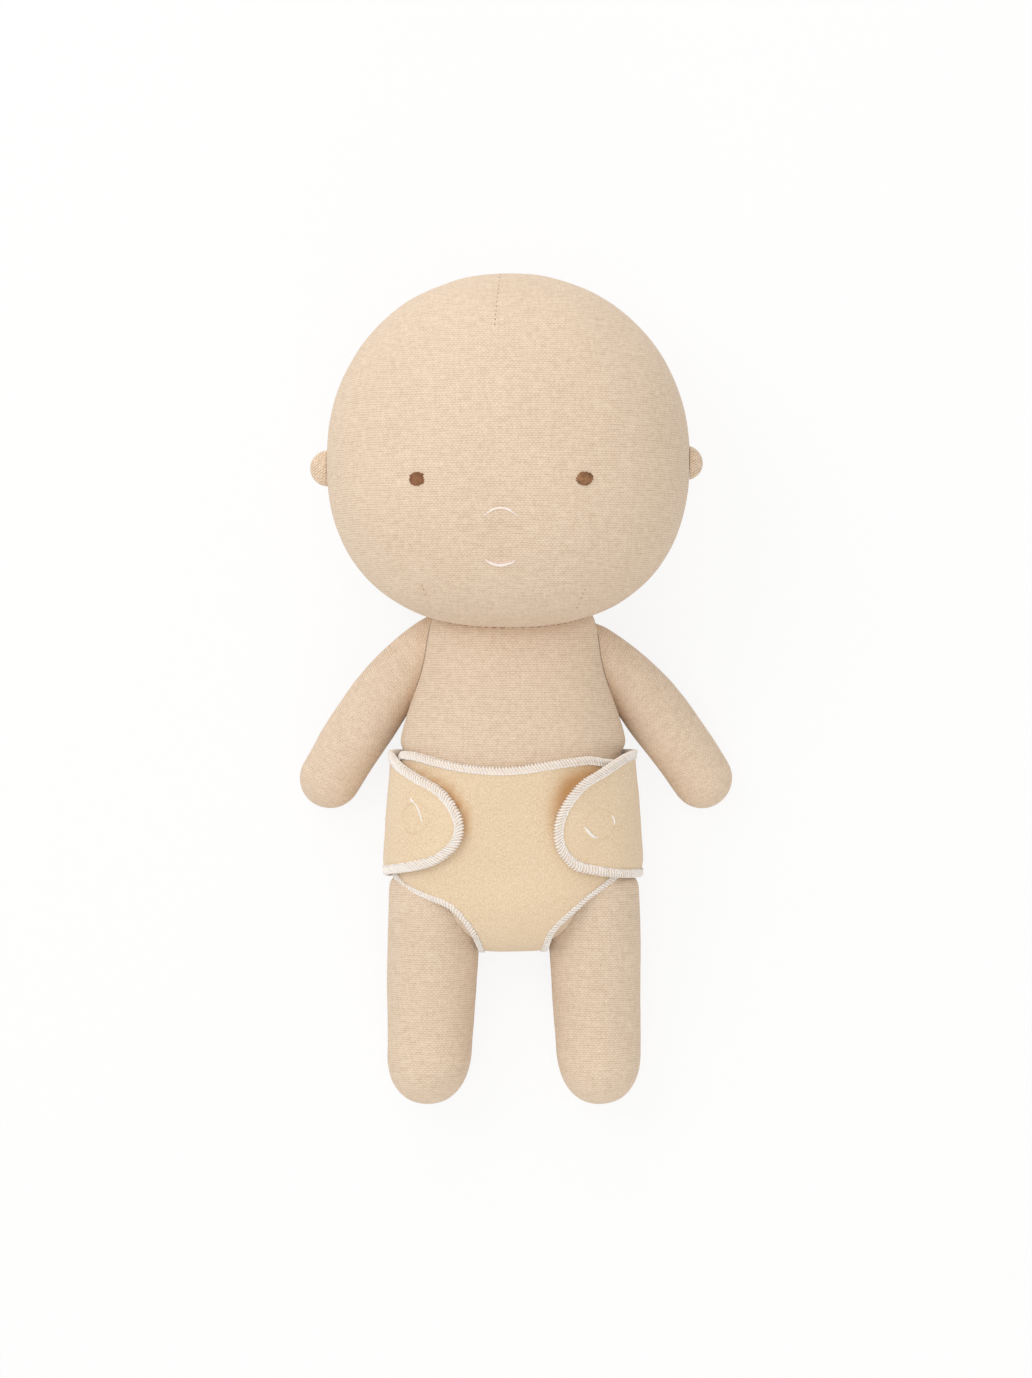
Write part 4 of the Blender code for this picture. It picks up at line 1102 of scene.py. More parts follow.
@dataclass
class Nappy:
    """The wrap nappy: its cut, its cloth, its overlocked edge and its stitched dots."""

    wrap: Wrap
    waist: Profile = WAIST
    tabs: dict = field(default_factory=lambda: TABS)
    leg_edges: dict = field(default_factory=lambda: LEG_EDGES)
    dots: dict = field(default_factory=lambda: {Side.LEFT: (0.1032, -0.0036), Side.RIGHT: (0.0979, -0.0012)})
    thickness: float = 0.0014
    cell: float = 0.0034
    front_corner: float = 0.0075
    crotch_half: float = 0.0145
    hole_squareness: float = 3.0
    wing_bottom_rise: float = 0.0028
    wing_width: float = 0.0538
    ring_radius: float = 0.0066
    patch_radius: float = 0.0074
    patch_thickness: float = 0.0007
    edge_width: float = 0.0033
    edge_half: float = 0.0010
    stitch_pitch: float = 0.00140
    thread: float = 0.00036

    def dot(self, side: Side) -> tuple[float, float]:
        """Gives the middle of a tab's ring on the pattern."""
        return side.value * self.dots[side][0], self.wing_middle + self.dots[side][1]

    @property
    def wing_middle(self) -> float:
        """Gives the row along the middle of the wings."""
        return self.wrap.seat_length + self.wing_bottom_rise + self.wing_width / 2

    def arc(self, centre: tuple[float, float], semi: tuple[float, float], square: float, start: float, end: float, steps: int) -> Array:
        """Gives points of a superellipse arc between two turns, counted in quarters."""
        turn = math.pi / 2 * np.linspace(start, end, steps + 1)
        across = centre[0] + semi[0] * power(np.cos(turn), 2 / square)
        return np.stack([across, centre[1] + semi[1] * power(np.sin(turn), 2 / square)], axis=1)

    def through(self, stations: tuple[tuple[float, float], ...], count: int) -> Array:
        """Gives points of a smooth curve through stations of the pattern."""
        spots = np.array(stations)
        length = np.concatenate([[0.0], np.cumsum(np.linalg.norm(np.diff(spots, axis=0), axis=1))])
        at = np.linspace(0, length[-1], count)
        return np.stack([Profile(tuple(zip(length, spots[:, axis])))(at) for axis in (0, 1)], axis=1)

    def half_outline(self, side: Side) -> Array:
        """Gives one side of the cut, from the middle of the waistband round to the middle of the back."""
        wrap, corner = self.wrap, self.front_corner
        crotch, wing_bottom = wrap.seat_length / 2, wrap.seat_length + self.wing_bottom_rise
        corner_across = wrap.front_half - corner
        across = np.linspace(0, corner_across, 40, endpoint=False)
        waist = np.stack([across, self.waist(side.value * across)], axis=1)
        corner_along = float(self.waist(side.value * corner_across)) + corner
        upper = self.arc((corner_across, corner_along), (corner, corner), 2, -1, 0, 24)
        leg_edge = self.leg_edges[side]
        lower = self.arc((corner_across, leg_edge[0][1] - corner), (corner, corner), 2, 0, 1, 24)
        front_leg = self.through(leg_edge, 100)[1:]
        hole, semi = (wrap.front_half, crotch), (wrap.front_half - self.crotch_half, wing_bottom - crotch)
        back_leg = self.arc(hole, semi, self.hole_squareness, 2, 1, 64)[1:]
        tab = self.through(self.tabs[side], 160) + (0.0, self.wing_middle)
        back = np.array([[0.0, wing_bottom + self.wing_width]])
        return np.concatenate([waist, upper, lower, front_leg, back_leg, tab, back])

    @cached_property
    def outline(self) -> tuple[Array, Array, Array]:
        """The whole cut edge at even steps of its wrapped length: points, edge direction and inward direction."""
        left, right = self.half_outline(Side.LEFT), self.half_outline(Side.RIGHT) * (-1, 1)
        rough = np.concatenate([left, right[::-1][1:]])
        gaps = np.linalg.norm(np.diff(rough, axis=0), axis=1)
        keep = np.concatenate([[True], gaps > 1e-6])
        rough, flat = rough[keep], np.concatenate([[0.0], np.cumsum(gaps[gaps > 1e-6])])
        fine_at = np.linspace(0, flat[-1], 4000)
        fine = np.stack([np.interp(fine_at, flat, rough[:, axis]) for axis in (0, 1)], axis=1)
        placed = self.wrap.place(fine[:, 0], fine[:, 1])
        length = np.concatenate([[0.0], np.cumsum(np.linalg.norm(np.diff(placed, axis=0), axis=1))])
        count = round(length[-1] / self.stitch_pitch)
        even = np.arange(count) * length[-1] / count
        points = np.stack([np.interp(even, length, fine[:, axis]) for axis in (0, 1)], axis=1)
        forward = unit(np.roll(points, -2, axis=0) - np.roll(points, 2, axis=0))
        return points, forward, np.stack([-forward[:, 1], forward[:, 0]], axis=1)

    @cached_property
    def spread(self) -> Array:
        """Factor on the overlock's width, which is narrower round the legs."""
        along = self.outline[0][:, 1]
        leg = rise(-0.004, 0.006, along) * (1 - rise(-0.006, 0.002, along - self.wrap.seat_length))
        return 0.86 - 0.14 * leg

    def flat_area(self) -> tuple[float, tuple[float, float]]:
        """Gives the area of the cut and the width and length of the piece of cloth that it comes from."""
        points, _, _ = self.outline
        after = np.roll(points, -1, axis=0)
        area = abs((points[:, 0] * after[:, 1] - points[:, 1] * after[:, 0]).sum()) / 2
        width, length = np.ptp(points, axis=0)
        return float(area), (float(width), float(length))

    def cloth(self) -> bpy.types.Object:
        """Cuts the cloth flat, scores it so that it can bend, wraps it and gives it its thickness."""
        points, _, inward = self.outline
        cut = (points + inward * 0.0007)[::2]
        shape = bmesh.new()
        shape.faces.new([shape.verts.new((*point, 0)) for point in cut])
        for axis in (0, 1):
            first = math.floor(cut[:, axis].min() / self.cell) + 1
            last = math.ceil(cut[:, axis].max() / self.cell) - 1
            normal = Vector((1, 0, 0)) if axis == 0 else Vector((0, 1, 0))
            for index in range(first, last + 1):
                geometry = shape.verts[:] + shape.edges[:] + shape.faces[:]
                origin = normal * (self.cell * index)
                bmesh.ops.bisect_plane(shape, geom=geometry, dist=1e-5, plane_co=origin, plane_no=normal)
        bmesh.ops.remove_doubles(shape, verts=shape.verts, dist=self.cell / 12)
        layer = shape.loops.layers.uv.new(CLOTH_MAP)
        for face in shape.faces:
            for corner in face.loops:
                corner[layer].uv = corner.vert.co.xy
        mesh = bpy.data.meshes.new("nappy_fleece")
        shape.to_mesh(mesh)
        shape.free()
        piece = bpy.data.objects.new("nappy_fleece", mesh)
        bpy.context.scene.collection.objects.link(piece)
        flat = read_points(piece)
        write_points(piece, self.wrap.place(flat[:, 0], flat[:, 1]))
        # Stores the painted shadow beside the tabs' edges on the cloth, for the fleece finish.
        shadow_values = mesh.attributes.new(PAINTED_SHADOW, "FLOAT", "POINT")
        shadow_values.data.foreach_set("value", self.painted_fold_shadows(flat).astype(np.float32))
        only(piece)
        bpy.ops.object.mode_set(mode="EDIT")
        bpy.ops.mesh.select_all(action="SELECT")
        bpy.ops.mesh.normals_make_consistent(inside=False)
        bpy.ops.object.mode_set(mode="OBJECT")
        if self.faces_in(piece):
            piece.data.flip_normals()
        solidify = piece.modifiers.new("Cloth thickness", "SOLIDIFY")
        solidify.thickness = self.thickness
        solidify.offset = 0
        apply_all(piece)
        smooth(piece, 50)
        return piece

    def painted_fold_shadows(self, flat: Array) -> Array:
        """Gives how strong the painted shadow beside a tab's edge is at each point of the front, from 0 to 1.

        Args:
            flat: Points on the pattern.

        Returns:
            The painted shadow's strength at each point.
        """
        depth = np.zeros(len(flat))
        # Reach, strength and middle of the painted shadow beside each tab.
        spread = {Side.RIGHT: (0.0013, 0.85, 0.0060), Side.LEFT: (0.0023, 0.85, 0.0120)}
        for side, (reach, strength, middle) in spread.items():
            edge = np.array(self.tabs[side])
            steps = np.linspace(0, len(edge) - 1, 200)
            edge = np.stack([np.interp(steps, np.arange(len(edge)), edge[:, axis]) for axis in (0, 1)], axis=1)
            edge = edge[edge[:, 0] > 0.080]
            along = edge[:, 1] + self.wing_middle
            below = np.stack([side.value * (self.wrap.half_round(along) - edge[:, 0]), self.wrap.seat_length - along], 1)
            gap = np.linalg.norm(flat[:, None, :2] - below[None], axis=2)
            near = gap.argmin(axis=1)
            high = np.exp(-(((edge[near, 1] - middle) / 0.0145) ** 2))
            wide = reach * (0.45 + 0.85 * high)
            depth = np.maximum(depth, strength * high * np.exp(-((gap.min(axis=1) / wide / 1.6) ** 2)))
        return depth * (flat[:, 1] < 0)

    def faces_in(self, piece: bpy.types.Object) -> bool:
        """Tells whether the open sheet's faces look towards the doll."""
        points, normals = read_points(piece), read_normals(piece)
        hub = np.stack([np.zeros(len(points)), points[:, 1], np.full(len(points), 0.032)], axis=1)
        return bool(((points - hub) * normals).sum() < 0)

    def band(self) -> bpy.types.Object:
        """Lays the base of the overlock round the cut edge, as a channel that wraps over it."""
        points, _, inward = self.outline
        outer, inner = self.edge_half, self.edge_half - 0.0002
        wide = self.edge_width - 0.0002
        section = [(wide, outer), (0.0, outer * 0.9), (-0.0002, 0.0), (0.0, -outer * 0.9), (wide, -outer)]
        section += [(wide, -inner), (0.0002, -inner * 0.9), (0.0002, inner * 0.9), (wide, inner)]
        rows = []
        for depth, out in section:
            spots = points + inward * (depth * self.spread if depth > 0.001 else np.full(len(points), depth))[:, None]
            rows.append(self.wrap.place(spots[:, 0], spots[:, 1], np.full(len(points), out)))
        grid = np.stack(rows, axis=1)
        count, corners = grid.shape[:2]
        index = np.arange(count * corners).reshape(count, corners)
        after = np.roll(index, -1, axis=0)
        faces = np.stack([index, np.roll(index, -1, axis=1), np.roll(after, -1, axis=1), after], axis=-1)
        piece = new_mesh("overlock_base", grid, faces.reshape(-1, 4).tolist())
        face_outwards(piece)
        smooth(piece, 50)
        return piece

    def path(self, steps: list[tuple[float, float, float]], stretch: Array, shift: Array) -> tuple[Array, Array]:
        """Lays the same stitch at every step of the edge.

        Args:
            steps: Along the edge, into the cloth and out of it, for each point of the stitch.
            stretch: Factor on each stitch's depth into the cloth.
            shift: How far each stitch is shifted along the edge.

        Returns:
            The stitches' centre lines and the edge's own direction beside them.
        """
        points, forward, inward = self.outline
        lines = []
        for ahead, depth, out in steps:
            deep = np.where(depth > 0, depth * stretch * self.spread, depth)
            spots = points + forward * (ahead + shift)[:, None] + inward * deep[:, None]
            lines.append(self.wrap.place(spots[:, 0], spots[:, 1], np.full(len(points), out)))
        centres = np.stack(lines, axis=1)
        along = np.roll(centres, -1, axis=0) - np.roll(centres, 1, axis=0)
        return centres, along

    def stitches(self) -> bpy.types.Object:
        """Sews the overlock's loops over the edge, one slanted loop at each step."""
        high, wide = self.edge_half + 0.00012, self.edge_width
        steps = [(0.0018, wide, high - 0.0002), (0.0014, 0.75 * wide, high), (0.0007, 0.40 * wide, high + 0.00012)]
        steps += [(0.0001, 0.05 * wide, high), (-0.0001, -0.0004, 0.5 * high), (-0.0001, -0.0005, 0.0)]
        steps += [(-0.0001, -0.0004, -0.5 * high), (0.0001, 0.05 * wide, -high), (0.0005, 0.45 * wide, -high - 0.0001)]
        steps += [(0.0011, wide, 0.0002 - high)]
        count = len(self.outline[0])
        slow = np.sin(np.arange(count) * 0.11) * 0.5 + np.sin(np.arange(count) * 0.043 + 1) * 0.5
        stretch = 1 + 0.07 * jitter(count, 3) + 0.07 * slow
        centres, along = self.path(steps, stretch, 0.00012 * jitter(count, 5))
        radius = self.thread * (1 + 0.16 * jitter(count, 9))[:, None]
        return tubes("overlock_loops", centres, along, radius, 6)

    def needle_line(self) -> bpy.types.Object:
        """Sews the needle thread that holds the loops' inner ends."""
        high = self.edge_half + 0.0001
        wide = self.edge_width * 0.94
        ends = ((-0.0006, -0.0003), (-0.0003, 0.0001), (0.0003, 0.0001), (0.0006, -0.0003))
        steps = [(ahead, wide, high + out) for ahead, out in ends]
        count = len(self.outline[0])
        centres, _ = self.path(steps, 1 + 0.05 * jitter(count, 12), np.zeros(count))
        _, _, inward = self.outline
        beside = np.roll(centres, -1, axis=1) - centres
        side = np.cross(beside, np.broadcast_to([0.3, 0.2, 1.0], beside.shape))
        return tubes("overlock_needle_line", centres, side, self.thread * 0.8, 5)

    def sew(self, name: str, side: Side, paths: list, lift: float, radius: float) -> bpy.types.Object:
        """Sews separate stitches on a tab.

        Args:
            name: Name of the piece.
            side: The tab's side.
            paths: Each stitch's points, from the ring's middle towards the tip and up.
            lift: How far each stitch stands out in its middle.
            radius: Thread radius.

        Returns:
            The stitches.
        """
        middle = self.dot(side)
        share = np.linspace(0, 1, 9)
        lines = []
        for path in paths:
            stations = np.array(path, float)
            at = np.linspace(0, 1, len(stations))
            to_tip, up = (Profile(tuple(zip(at, stations[:, axis])))(share) for axis in (0, 1))
            lines.append((middle[0] + side.value * to_tip, middle[1] + up))
        across, along = (np.array(part) for part in zip(*lines))
        out = self.thickness / 2 - 0.0001 + lift * np.sin(np.pi * share) + np.zeros_like(across)
        centres = self.wrap.place(across, along, out).reshape(*across.shape, 3)
        direction = unit(np.gradient(centres, axis=1))
        beside = np.cross(direction, np.broadcast_to([0.0, 0.0, 1.0], direction.shape))
        return tubes(name, centres, beside, radius * (0.55 + 0.45 * np.sin(np.pi * share))[None], 6)

    def patch(self, kind: str, side: Side, out: float) -> bpy.types.Object:
        """Lays a round patch of hook or loop tape under a tab.

        Args:
            kind: Which patch it is.
            side: The tab's side.
            out: How far its middle is out from the middle of the tab's cloth.

        Returns:
            The patch.
        """
        middle = self.dot(side)
        turns = math.tau * np.arange(40) / 40
        radii = self.patch_radius * np.array([0.04, 0.35, 0.7, 1.0, 1.0, 0.7, 0.35, 0.04])
        outs = out + self.patch_thickness / 2 * np.array([-1, -1, -1, -1, 1, 1, 1, 1])
        across = middle[0] + radii[:, None] * np.cos(turns)
        along = middle[1] + radii[:, None] * np.sin(turns)
        points = self.wrap.place(across, along, np.repeat(outs, 40))
        index = np.arange(8 * 40).reshape(8, 40)
        after = np.roll(index, -1, axis=1)
        walls = np.stack([index[:-1], after[:-1], after[1:], index[1:]], axis=-1).reshape(-1, 4)
        piece = new_mesh(f"{kind}_{side.name.lower()}_tape", points, [*walls.tolist(), index[0].tolist(), index[-1].tolist()])
        face_outwards(piece)
        smooth(piece, 50)
        return piece

    def ring(self, side: Side) -> bpy.types.Object:
        """Sews the faint ring that holds a tab's dot."""
        count = 26
        starts = math.tau * np.arange(count) / count
        paths = []
        for start in starts:
            turns = start + np.linspace(0.06, 0.94, 4) * math.tau / count
            paths.append([(self.ring_radius * math.cos(turn), self.ring_radius * math.sin(turn)) for turn in turns])
        return self.sew("dot_ring_" + side.name.lower(), side, paths, 0.00012, 0.00022)

    def loose(self, side: Side) -> list[bpy.types.Object]:
        """Sews the brighter thread that lies loose beside a tab's ring."""
        tag = "dot_loose_stitch_" + side.name.lower()
        if side is Side.RIGHT:
            knot = [millimetres((-2.4, 8.4), (-1.6, 7.6), (-0.6, 6.6))]
            tail = [millimetres((-0.8, 6.8), (1.6, 4.2), (2.9, 1.2), (3.4, -1.8))]
        else:
            knot = [millimetres((6.9, -1.4), (5.0, -4.0), (2.9, -6.2)), millimetres((6.4, -2.6), (4.2, -4.9), (1.4, -6.3))]
            tail = [millimetres((-5.6, 3.6), (-6.5, 1.6), (-6.7, -0.9))]
        return [self.sew(tag + "_knot", side, knot, 0.0006, 0.00062), self.sew(tag, side, tail, 0.0004, 0.00040)]


# Embroidery and hand stitches


@dataclass
class Face:
    """The embroidered face."""

    head: Head
    eye_spacing: float = 0.0702
    eye_drop: float = 0.0108
    eye_size: tuple[float, float] = (0.0056, 0.0056)
    rows: int = 13

    def eye(self, side: Side) -> tuple[bpy.types.Object, bpy.types.Object]:
        """Sews one eye in satin stitch over a flat pad."""
        rows = self.rows
        level = (np.arange(rows) + 0.5) / rows * 2 - 1
        reach = np.sqrt(np.maximum(1 - np.abs(level) ** 2.2, 0.05)) * self.eye_size[0] / 2
        left = -reach - 0.00042 * (1 + jitter(rows, side.value + 2))
        right = reach + 0.00042 * (1 + jitter(rows, side.value + 7))
        ends = np.stack([left, right], axis=1)
        share = np.linspace(0, 1, 9)
        across = ends[:, :1] * (1 - share) + ends[:, 1:] * share
        drop = np.broadcast_to(level[:, None] * self.eye_size[1] / 2, across.shape)
        drop = drop + 0.00012 * jitter(rows, side.value + 11)[:, None] * (share - 0.5)
        swell = np.sin(np.pi * share) ** 0.5 * (1 - 0.5 * level[:, None] ** 2)
        middle = side.value * self.eye_spacing / 2
        centres = self.head.face(middle + across, self.eye_drop + drop, -0.0001 + 0.0008 * swell)
        beside = np.broadcast_to([0.0, 1.0, 0.0], centres.shape)
        tag = side.name.lower()
        threads = tubes("eye_stitches_" + tag, centres, beside, 0.00027, 6)
        turn = np.linspace(0, math.tau, 24, endpoint=False)
        pad_across = middle + np.outer([1.0, 0.6], np.cos(turn)) * self.eye_size[0] * 0.47
        pad_drop = self.eye_drop + np.outer([1.0, 0.6], np.sin(turn)) * self.eye_size[1] * 0.47
        low = self.head.face(pad_across[0], pad_drop[0], -0.0003)
        high = self.head.face(pad_across, pad_drop, np.array([[0.0002], [0.0005]]) + np.zeros((2, 24)))
        points = np.concatenate([low, high[0], high[1]])
        ring = np.arange(24)
        faces = [[int(i), int((i + 1) % 24), int((i + 1) % 24 + 24), int(i + 24)] for i in ring]
        faces += [[int(i + 24), int((i + 1) % 24 + 24), int((i + 1) % 24 + 48), int(i + 48)] for i in ring]
        faces += [(ring + 48).tolist(), ring[::-1].tolist()]
        pad = new_mesh("eye_pad_" + tag, points, faces)
        face_outwards(pad)
        smooth(pad, 60)
        return threads, pad

    def nose(self) -> bpy.types.Object:
        """Sews the nose as one loose arc of thread."""
        share = np.linspace(-1, 1, 25)
        across = share * 0.0069 + 0.0002
        drop = 0.0231 + 0.0034 * np.abs(share) ** 2.2
        lift = 0.00042 * np.minimum(1, (1 - np.abs(share)) / 0.12) - 0.0001
        centres = self.head.face(across, drop, lift)[None]
        radius = 0.00044 * (0.40 + 0.60 * rise(0, 0.5, 1 - np.abs(share)))[None]
        beside = np.broadcast_to([0.0, 0.0, 1.0], centres.shape)
        return tubes("nose_thread", centres, beside, radius, 8)

    def mouth(self) -> tuple[bpy.types.Object, bpy.types.Object]:
        """Sews the mouth: upright fill stitches, and one heavier thread along the lower lip."""
        columns = 20
        place = (np.arange(columns) + 0.5) / columns * 2 - 1
        upper = 0.0446 + 0.0008 * (1 - place**2)
        lower = 0.0446 + 0.0021 * (1 - place**2)
        share = np.linspace(0, 1, 6)
        drop = upper[:, None] * (1 - share) + lower[:, None] * share
        across = np.broadcast_to((place * 0.0058)[:, None], drop.shape) + 0.0001 * jitter(columns, 4)[:, None] * share
        lift = 0.0001 + 0.00045 * np.sin(np.pi * share) + np.zeros_like(drop)
        beside = np.broadcast_to([1.0, 0.0, 0.0], (*drop.shape, 3))
        fill = tubes("mouth_fill", self.head.face(across - 0.0004, drop, lift), beside, 0.00027, 5)
        along = np.linspace(-1, 1, 21)
        lip_drop = 0.0444 + 0.0022 * (1 - along**2) + 0.0005 * rise(0.4, 1, along)
        lip = self.head.face(along * 0.0062 - 0.0004, lip_drop, 0.0005 * np.sqrt(np.maximum(1 - along**2, 0)))[None]
        radius = 0.00062 * (0.50 + 0.50 * (1 - along**2))[None]
        line = tubes("mouth_lower_lip", lip, np.broadcast_to([0.0, 0.0, 1.0], lip.shape), radius, 8)
        return fill, line


@dataclass
class HandStitches:
    """The short stitches that close the neck seam and the darts."""

    head: Head
    torso: Torso
    pitch: float = 0.0026

    def neck_line(self, count: int) -> tuple[Array, Array]:
        """Finds the line where the torso meets the head.

        Args:
            count: How many points round the neck.

        Returns:
            The points, and the direction down the torso beside them.
        """
        turn = math.tau * np.arange(count) / count
        low, high = np.full(count, -self.torso.neck_inset), np.full(count, 0.030)
        for _ in range(30):
            middle = (low + high) / 2
            inside = self.head.level_of(self.torso.ring(middle, turn, np.ones(count))) < 1
            low, high = np.where(inside, middle, low), np.where(inside, high, middle)
        on = self.torso.ring(high, turn, np.ones(count))
        below = self.torso.ring(high + 0.001, turn, np.ones(count))
        return on, unit(below - on)

    def neck(self) -> bpy.types.Object:
        """Sews the ladder stitches round the neck."""
        points, _ = self.neck_line(400)
        length = np.linalg.norm(np.diff(np.concatenate([points, points[:1]]), axis=0), axis=1).sum()
        count = round(length / self.pitch)
        on, down = self.neck_line(count)
        out = unit(on - np.array([0.0, self.head.ear_line - 0.03, 0.045]))
        line = unit(np.roll(on, -1, axis=0) - np.roll(on, 1, axis=0)) + down * 0.12 * jitter(count, 6)[:, None]
        share = np.array([-1.0, -0.5, 0.0, 0.5, 1.0])
        reach = (0.00070 + 0.00045 * jitter(count, 8))[:, None] * share
        lift = (-0.00025 + 0.00030 * (1 - share**2))[None, :, None]
        centres = on[:, None] + line[:, None] * reach[..., None] + (out[:, None] * 0.6 + down[:, None] * 0.5) * lift
        beside = np.broadcast_to(down[:, None], centres.shape)
        return tubes("neck_ladder_stitches", centres, beside, 0.00014 * (1 + 0.4 * jitter(count, 3))[:, None], 5)

    def dart(self, name: str, start: tuple[float, float], end: tuple[float, float], skin: bpy.types.Object) -> bpy.types.Object:
        """Sews a dart's short stitches on the head.

        Args:
            name: Name of the piece.
            start: X and Y of the dart's wide end.
            end: X and Y of its tip.
            skin: The head's cloth, which the stitches lie on.

        Returns:
            The stitches.
        """
        tree = BVHTree.FromObject(skin, bpy.context.evaluated_depsgraph_get())
        start_at, end_at = np.array(start), np.array(end)
        line = end_at - start_at
        count = max(3, round(float(np.linalg.norm(line)) / 0.0021))
        stitches = []
        for index in range(count):
            share = (index + 0.5 + 0.12 * float(jitter(count, 2)[index])) / count
            stitch = []
            for step in (-0.5, -0.25, 0.0, 0.25, 0.5):
                spot = start_at + line * (share + step * 0.42 / count)
                found, facing, _, _ = tree.ray_cast(Vector((*spot, 0.3)), Vector((0, 0, -1)))
                stitch.append(np.array(found + facing * (0.00002 - 0.0003 * (2 * step) ** 2)))
            stitches.append(stitch)
        centres = np.array(stitches)
        beside = np.broadcast_to([line[1], -line[0], 0.0], centres.shape)
        return tubes(name, centres, beside, 0.00026, 5)


# Assembly


@dataclass
class Doll:
    """The whole doll, built bag by bag and then dressed."""

    def body(self) -> tuple[Head, Torso, bpy.types.Object]:
        """Builds the stuffed bags and sews them together.

        Returns:
            The head's and the torso's sizes, and the head's cloth.
        """
        head, torso = Head(), Torso()
        skull, trunk = head.make(), torso.make()
        arms = {
            "left": Arm("stuffed_arm_left", torso=torso, side=1),
            "right": Arm("stuffed_arm_right", torso=torso, side=-1, root_drop=0.0012, elbow_reach=0.0515, elbow_drop=0.0150),
        }
        legs = {"left": Leg("stuffed_leg_left", torso=torso, side=1), "right": Leg("stuffed_leg_right", torso=torso, side=-1)}
        ears = {
            "left": Ear("stuffed_ear_left", head=head, side=1),
            "right": Ear("stuffed_ear_right", head=head, side=-1, radius=0.0079, inset=0.0004, drop=0.0034, grain=-0.6),
        }
        tuck(skull, trunk, 0.0028, 0.0007)
        tuck(trunk, skull, 0.0030, 0.0006)
        limbs = {}
        for kind, group in (("arm", arms), ("leg", legs), ("ear", ears)):
            for tag, bag in group.items():
                limbs[f"{kind}_{tag}"] = bag.make()
        for tag in arms:
            tuck(trunk, limbs["arm_" + tag], 0.0026, 0.0008)
        for name, limb in limbs.items():
            if name.startswith("arm"):
                tuck(limb, trunk, 0.0030, 0.0007)
                cut_back(limb, trunk, skull)
            elif name.startswith("leg"):
                cut_back(limb, trunk)
            else:
                cut_back(limb, skull)
        cut_back(trunk, skull)
        for name, piece in (("head", skull), ("torso", trunk), *limbs.items()):
            smooth(piece, 40)
            cotton = EAR_COTTON if name.startswith("ear") else COTTON
            seat(piece, cotton.material(), "cotton", name)
        return head, torso, skull

    def face(self, head: Head) -> None:
        """Sews the face."""
        face = Face(head)
        for side in Side:
            threads, pad = face.eye(side)
            finish = EYE_SHADED if side is Side.LEFT else EYE_BROWN
            seat(threads, finish.material(), "eye_thread", "eye_" + side.name.lower())
            # The darker pad stands in for the shade between the eye's stitches.
            seat(pad, EYE_UNDER_SHADE.material(), "eye_thread")
        seat(face.nose(), FACE_PALE.material(), "face_thread", "nose_stitch")
        fill, line = face.mouth()
        seat(fill, FACE_FILL.material(), "face_thread", "mouth_stitch")
        seat(line, FACE_PALE.material(), "face_thread")

    def seams(self, head: Head, torso: Torso, skin: bpy.types.Object) -> None:
        """Sews the neck and the darts."""
        sewing = HandStitches(head, torso)
        # The neck stitches' dark finish is painted shade in their holes.
        seat(sewing.neck(), SHADED_SEWING.material(), "cotton")
        darts = {
            "crown_dart": ((-0.0054, 0.1806), (-0.0077, 0.1542)),
            "chin_dart_right": ((-0.0388, 0.0470), (-0.0366, 0.0408)),
            "chin_dart_left": ((0.0310, 0.0450), (0.0268, 0.0356)),
        }
        for name, (start, end) in darts.items():
            seat(sewing.dart(name, start, end, skin), DART_THREAD.material(), "cotton")

    def nappy(self, torso: Torso) -> None:
        """Cuts, wraps and sews the nappy."""
        wrap = Wrap(torso)
        nappy = Nappy(wrap)
        wrap.dots = [nappy.dot(side) for side in Side]
        cloth = nappy.cloth()
        seat(cloth, FLEECE.material(), "nappy_fleece", "nappy_cloth")
        band, loops, needle = nappy.band(), nappy.stitches(), nappy.needle_line()
        seat(band, OVERLOCK_BASE.material(), "overlock_thread", "nappy_overlock_edge")
        seat(loops, OVERLOCK.material(), "overlock_thread")
        seat(needle, OVERLOCK.material(), "overlock_thread")
        for side in Side:
            seat(nappy.ring(side), DOT_FAINT.material(), "face_thread", "patch_stitching_" + side.name.lower())
            for stitch in nappy.loose(side):
                seat(stitch, DOT_WHITE.material(), "face_thread")
        area, flat = nappy.flat_area()
        for kind, out in (("hook_patch", -0.00135), ("loop_patch", -0.00235)):
            for side in Side:
                patch = nappy.patch(kind, side, out)
                seat(patch, HOOK_LOOP.material(), "hook_and_loop", f"{kind}_{side.name.lower()}")


@dataclass(frozen=True)
class Lamp:
    """A soft square lamp that looks at the doll."""

    name: str
    place: tuple[float, float, float]
    size: float
    power: float

    def hang(self) -> None:
        """Hangs the lamp in its place."""
        light = bpy.data.lights.new(self.name, "AREA")
        light.shape = "SQUARE"
        light.size = self.size
        light.energy = self.power
        lamp = bpy.data.objects.new(self.name, light)
        lamp.location = self.place
        lamp.rotation_euler = (-Vector(self.place)).to_track_quat("-Z", "Y").to_euler()
        bpy.context.scene.collection.objects.link(lamp)


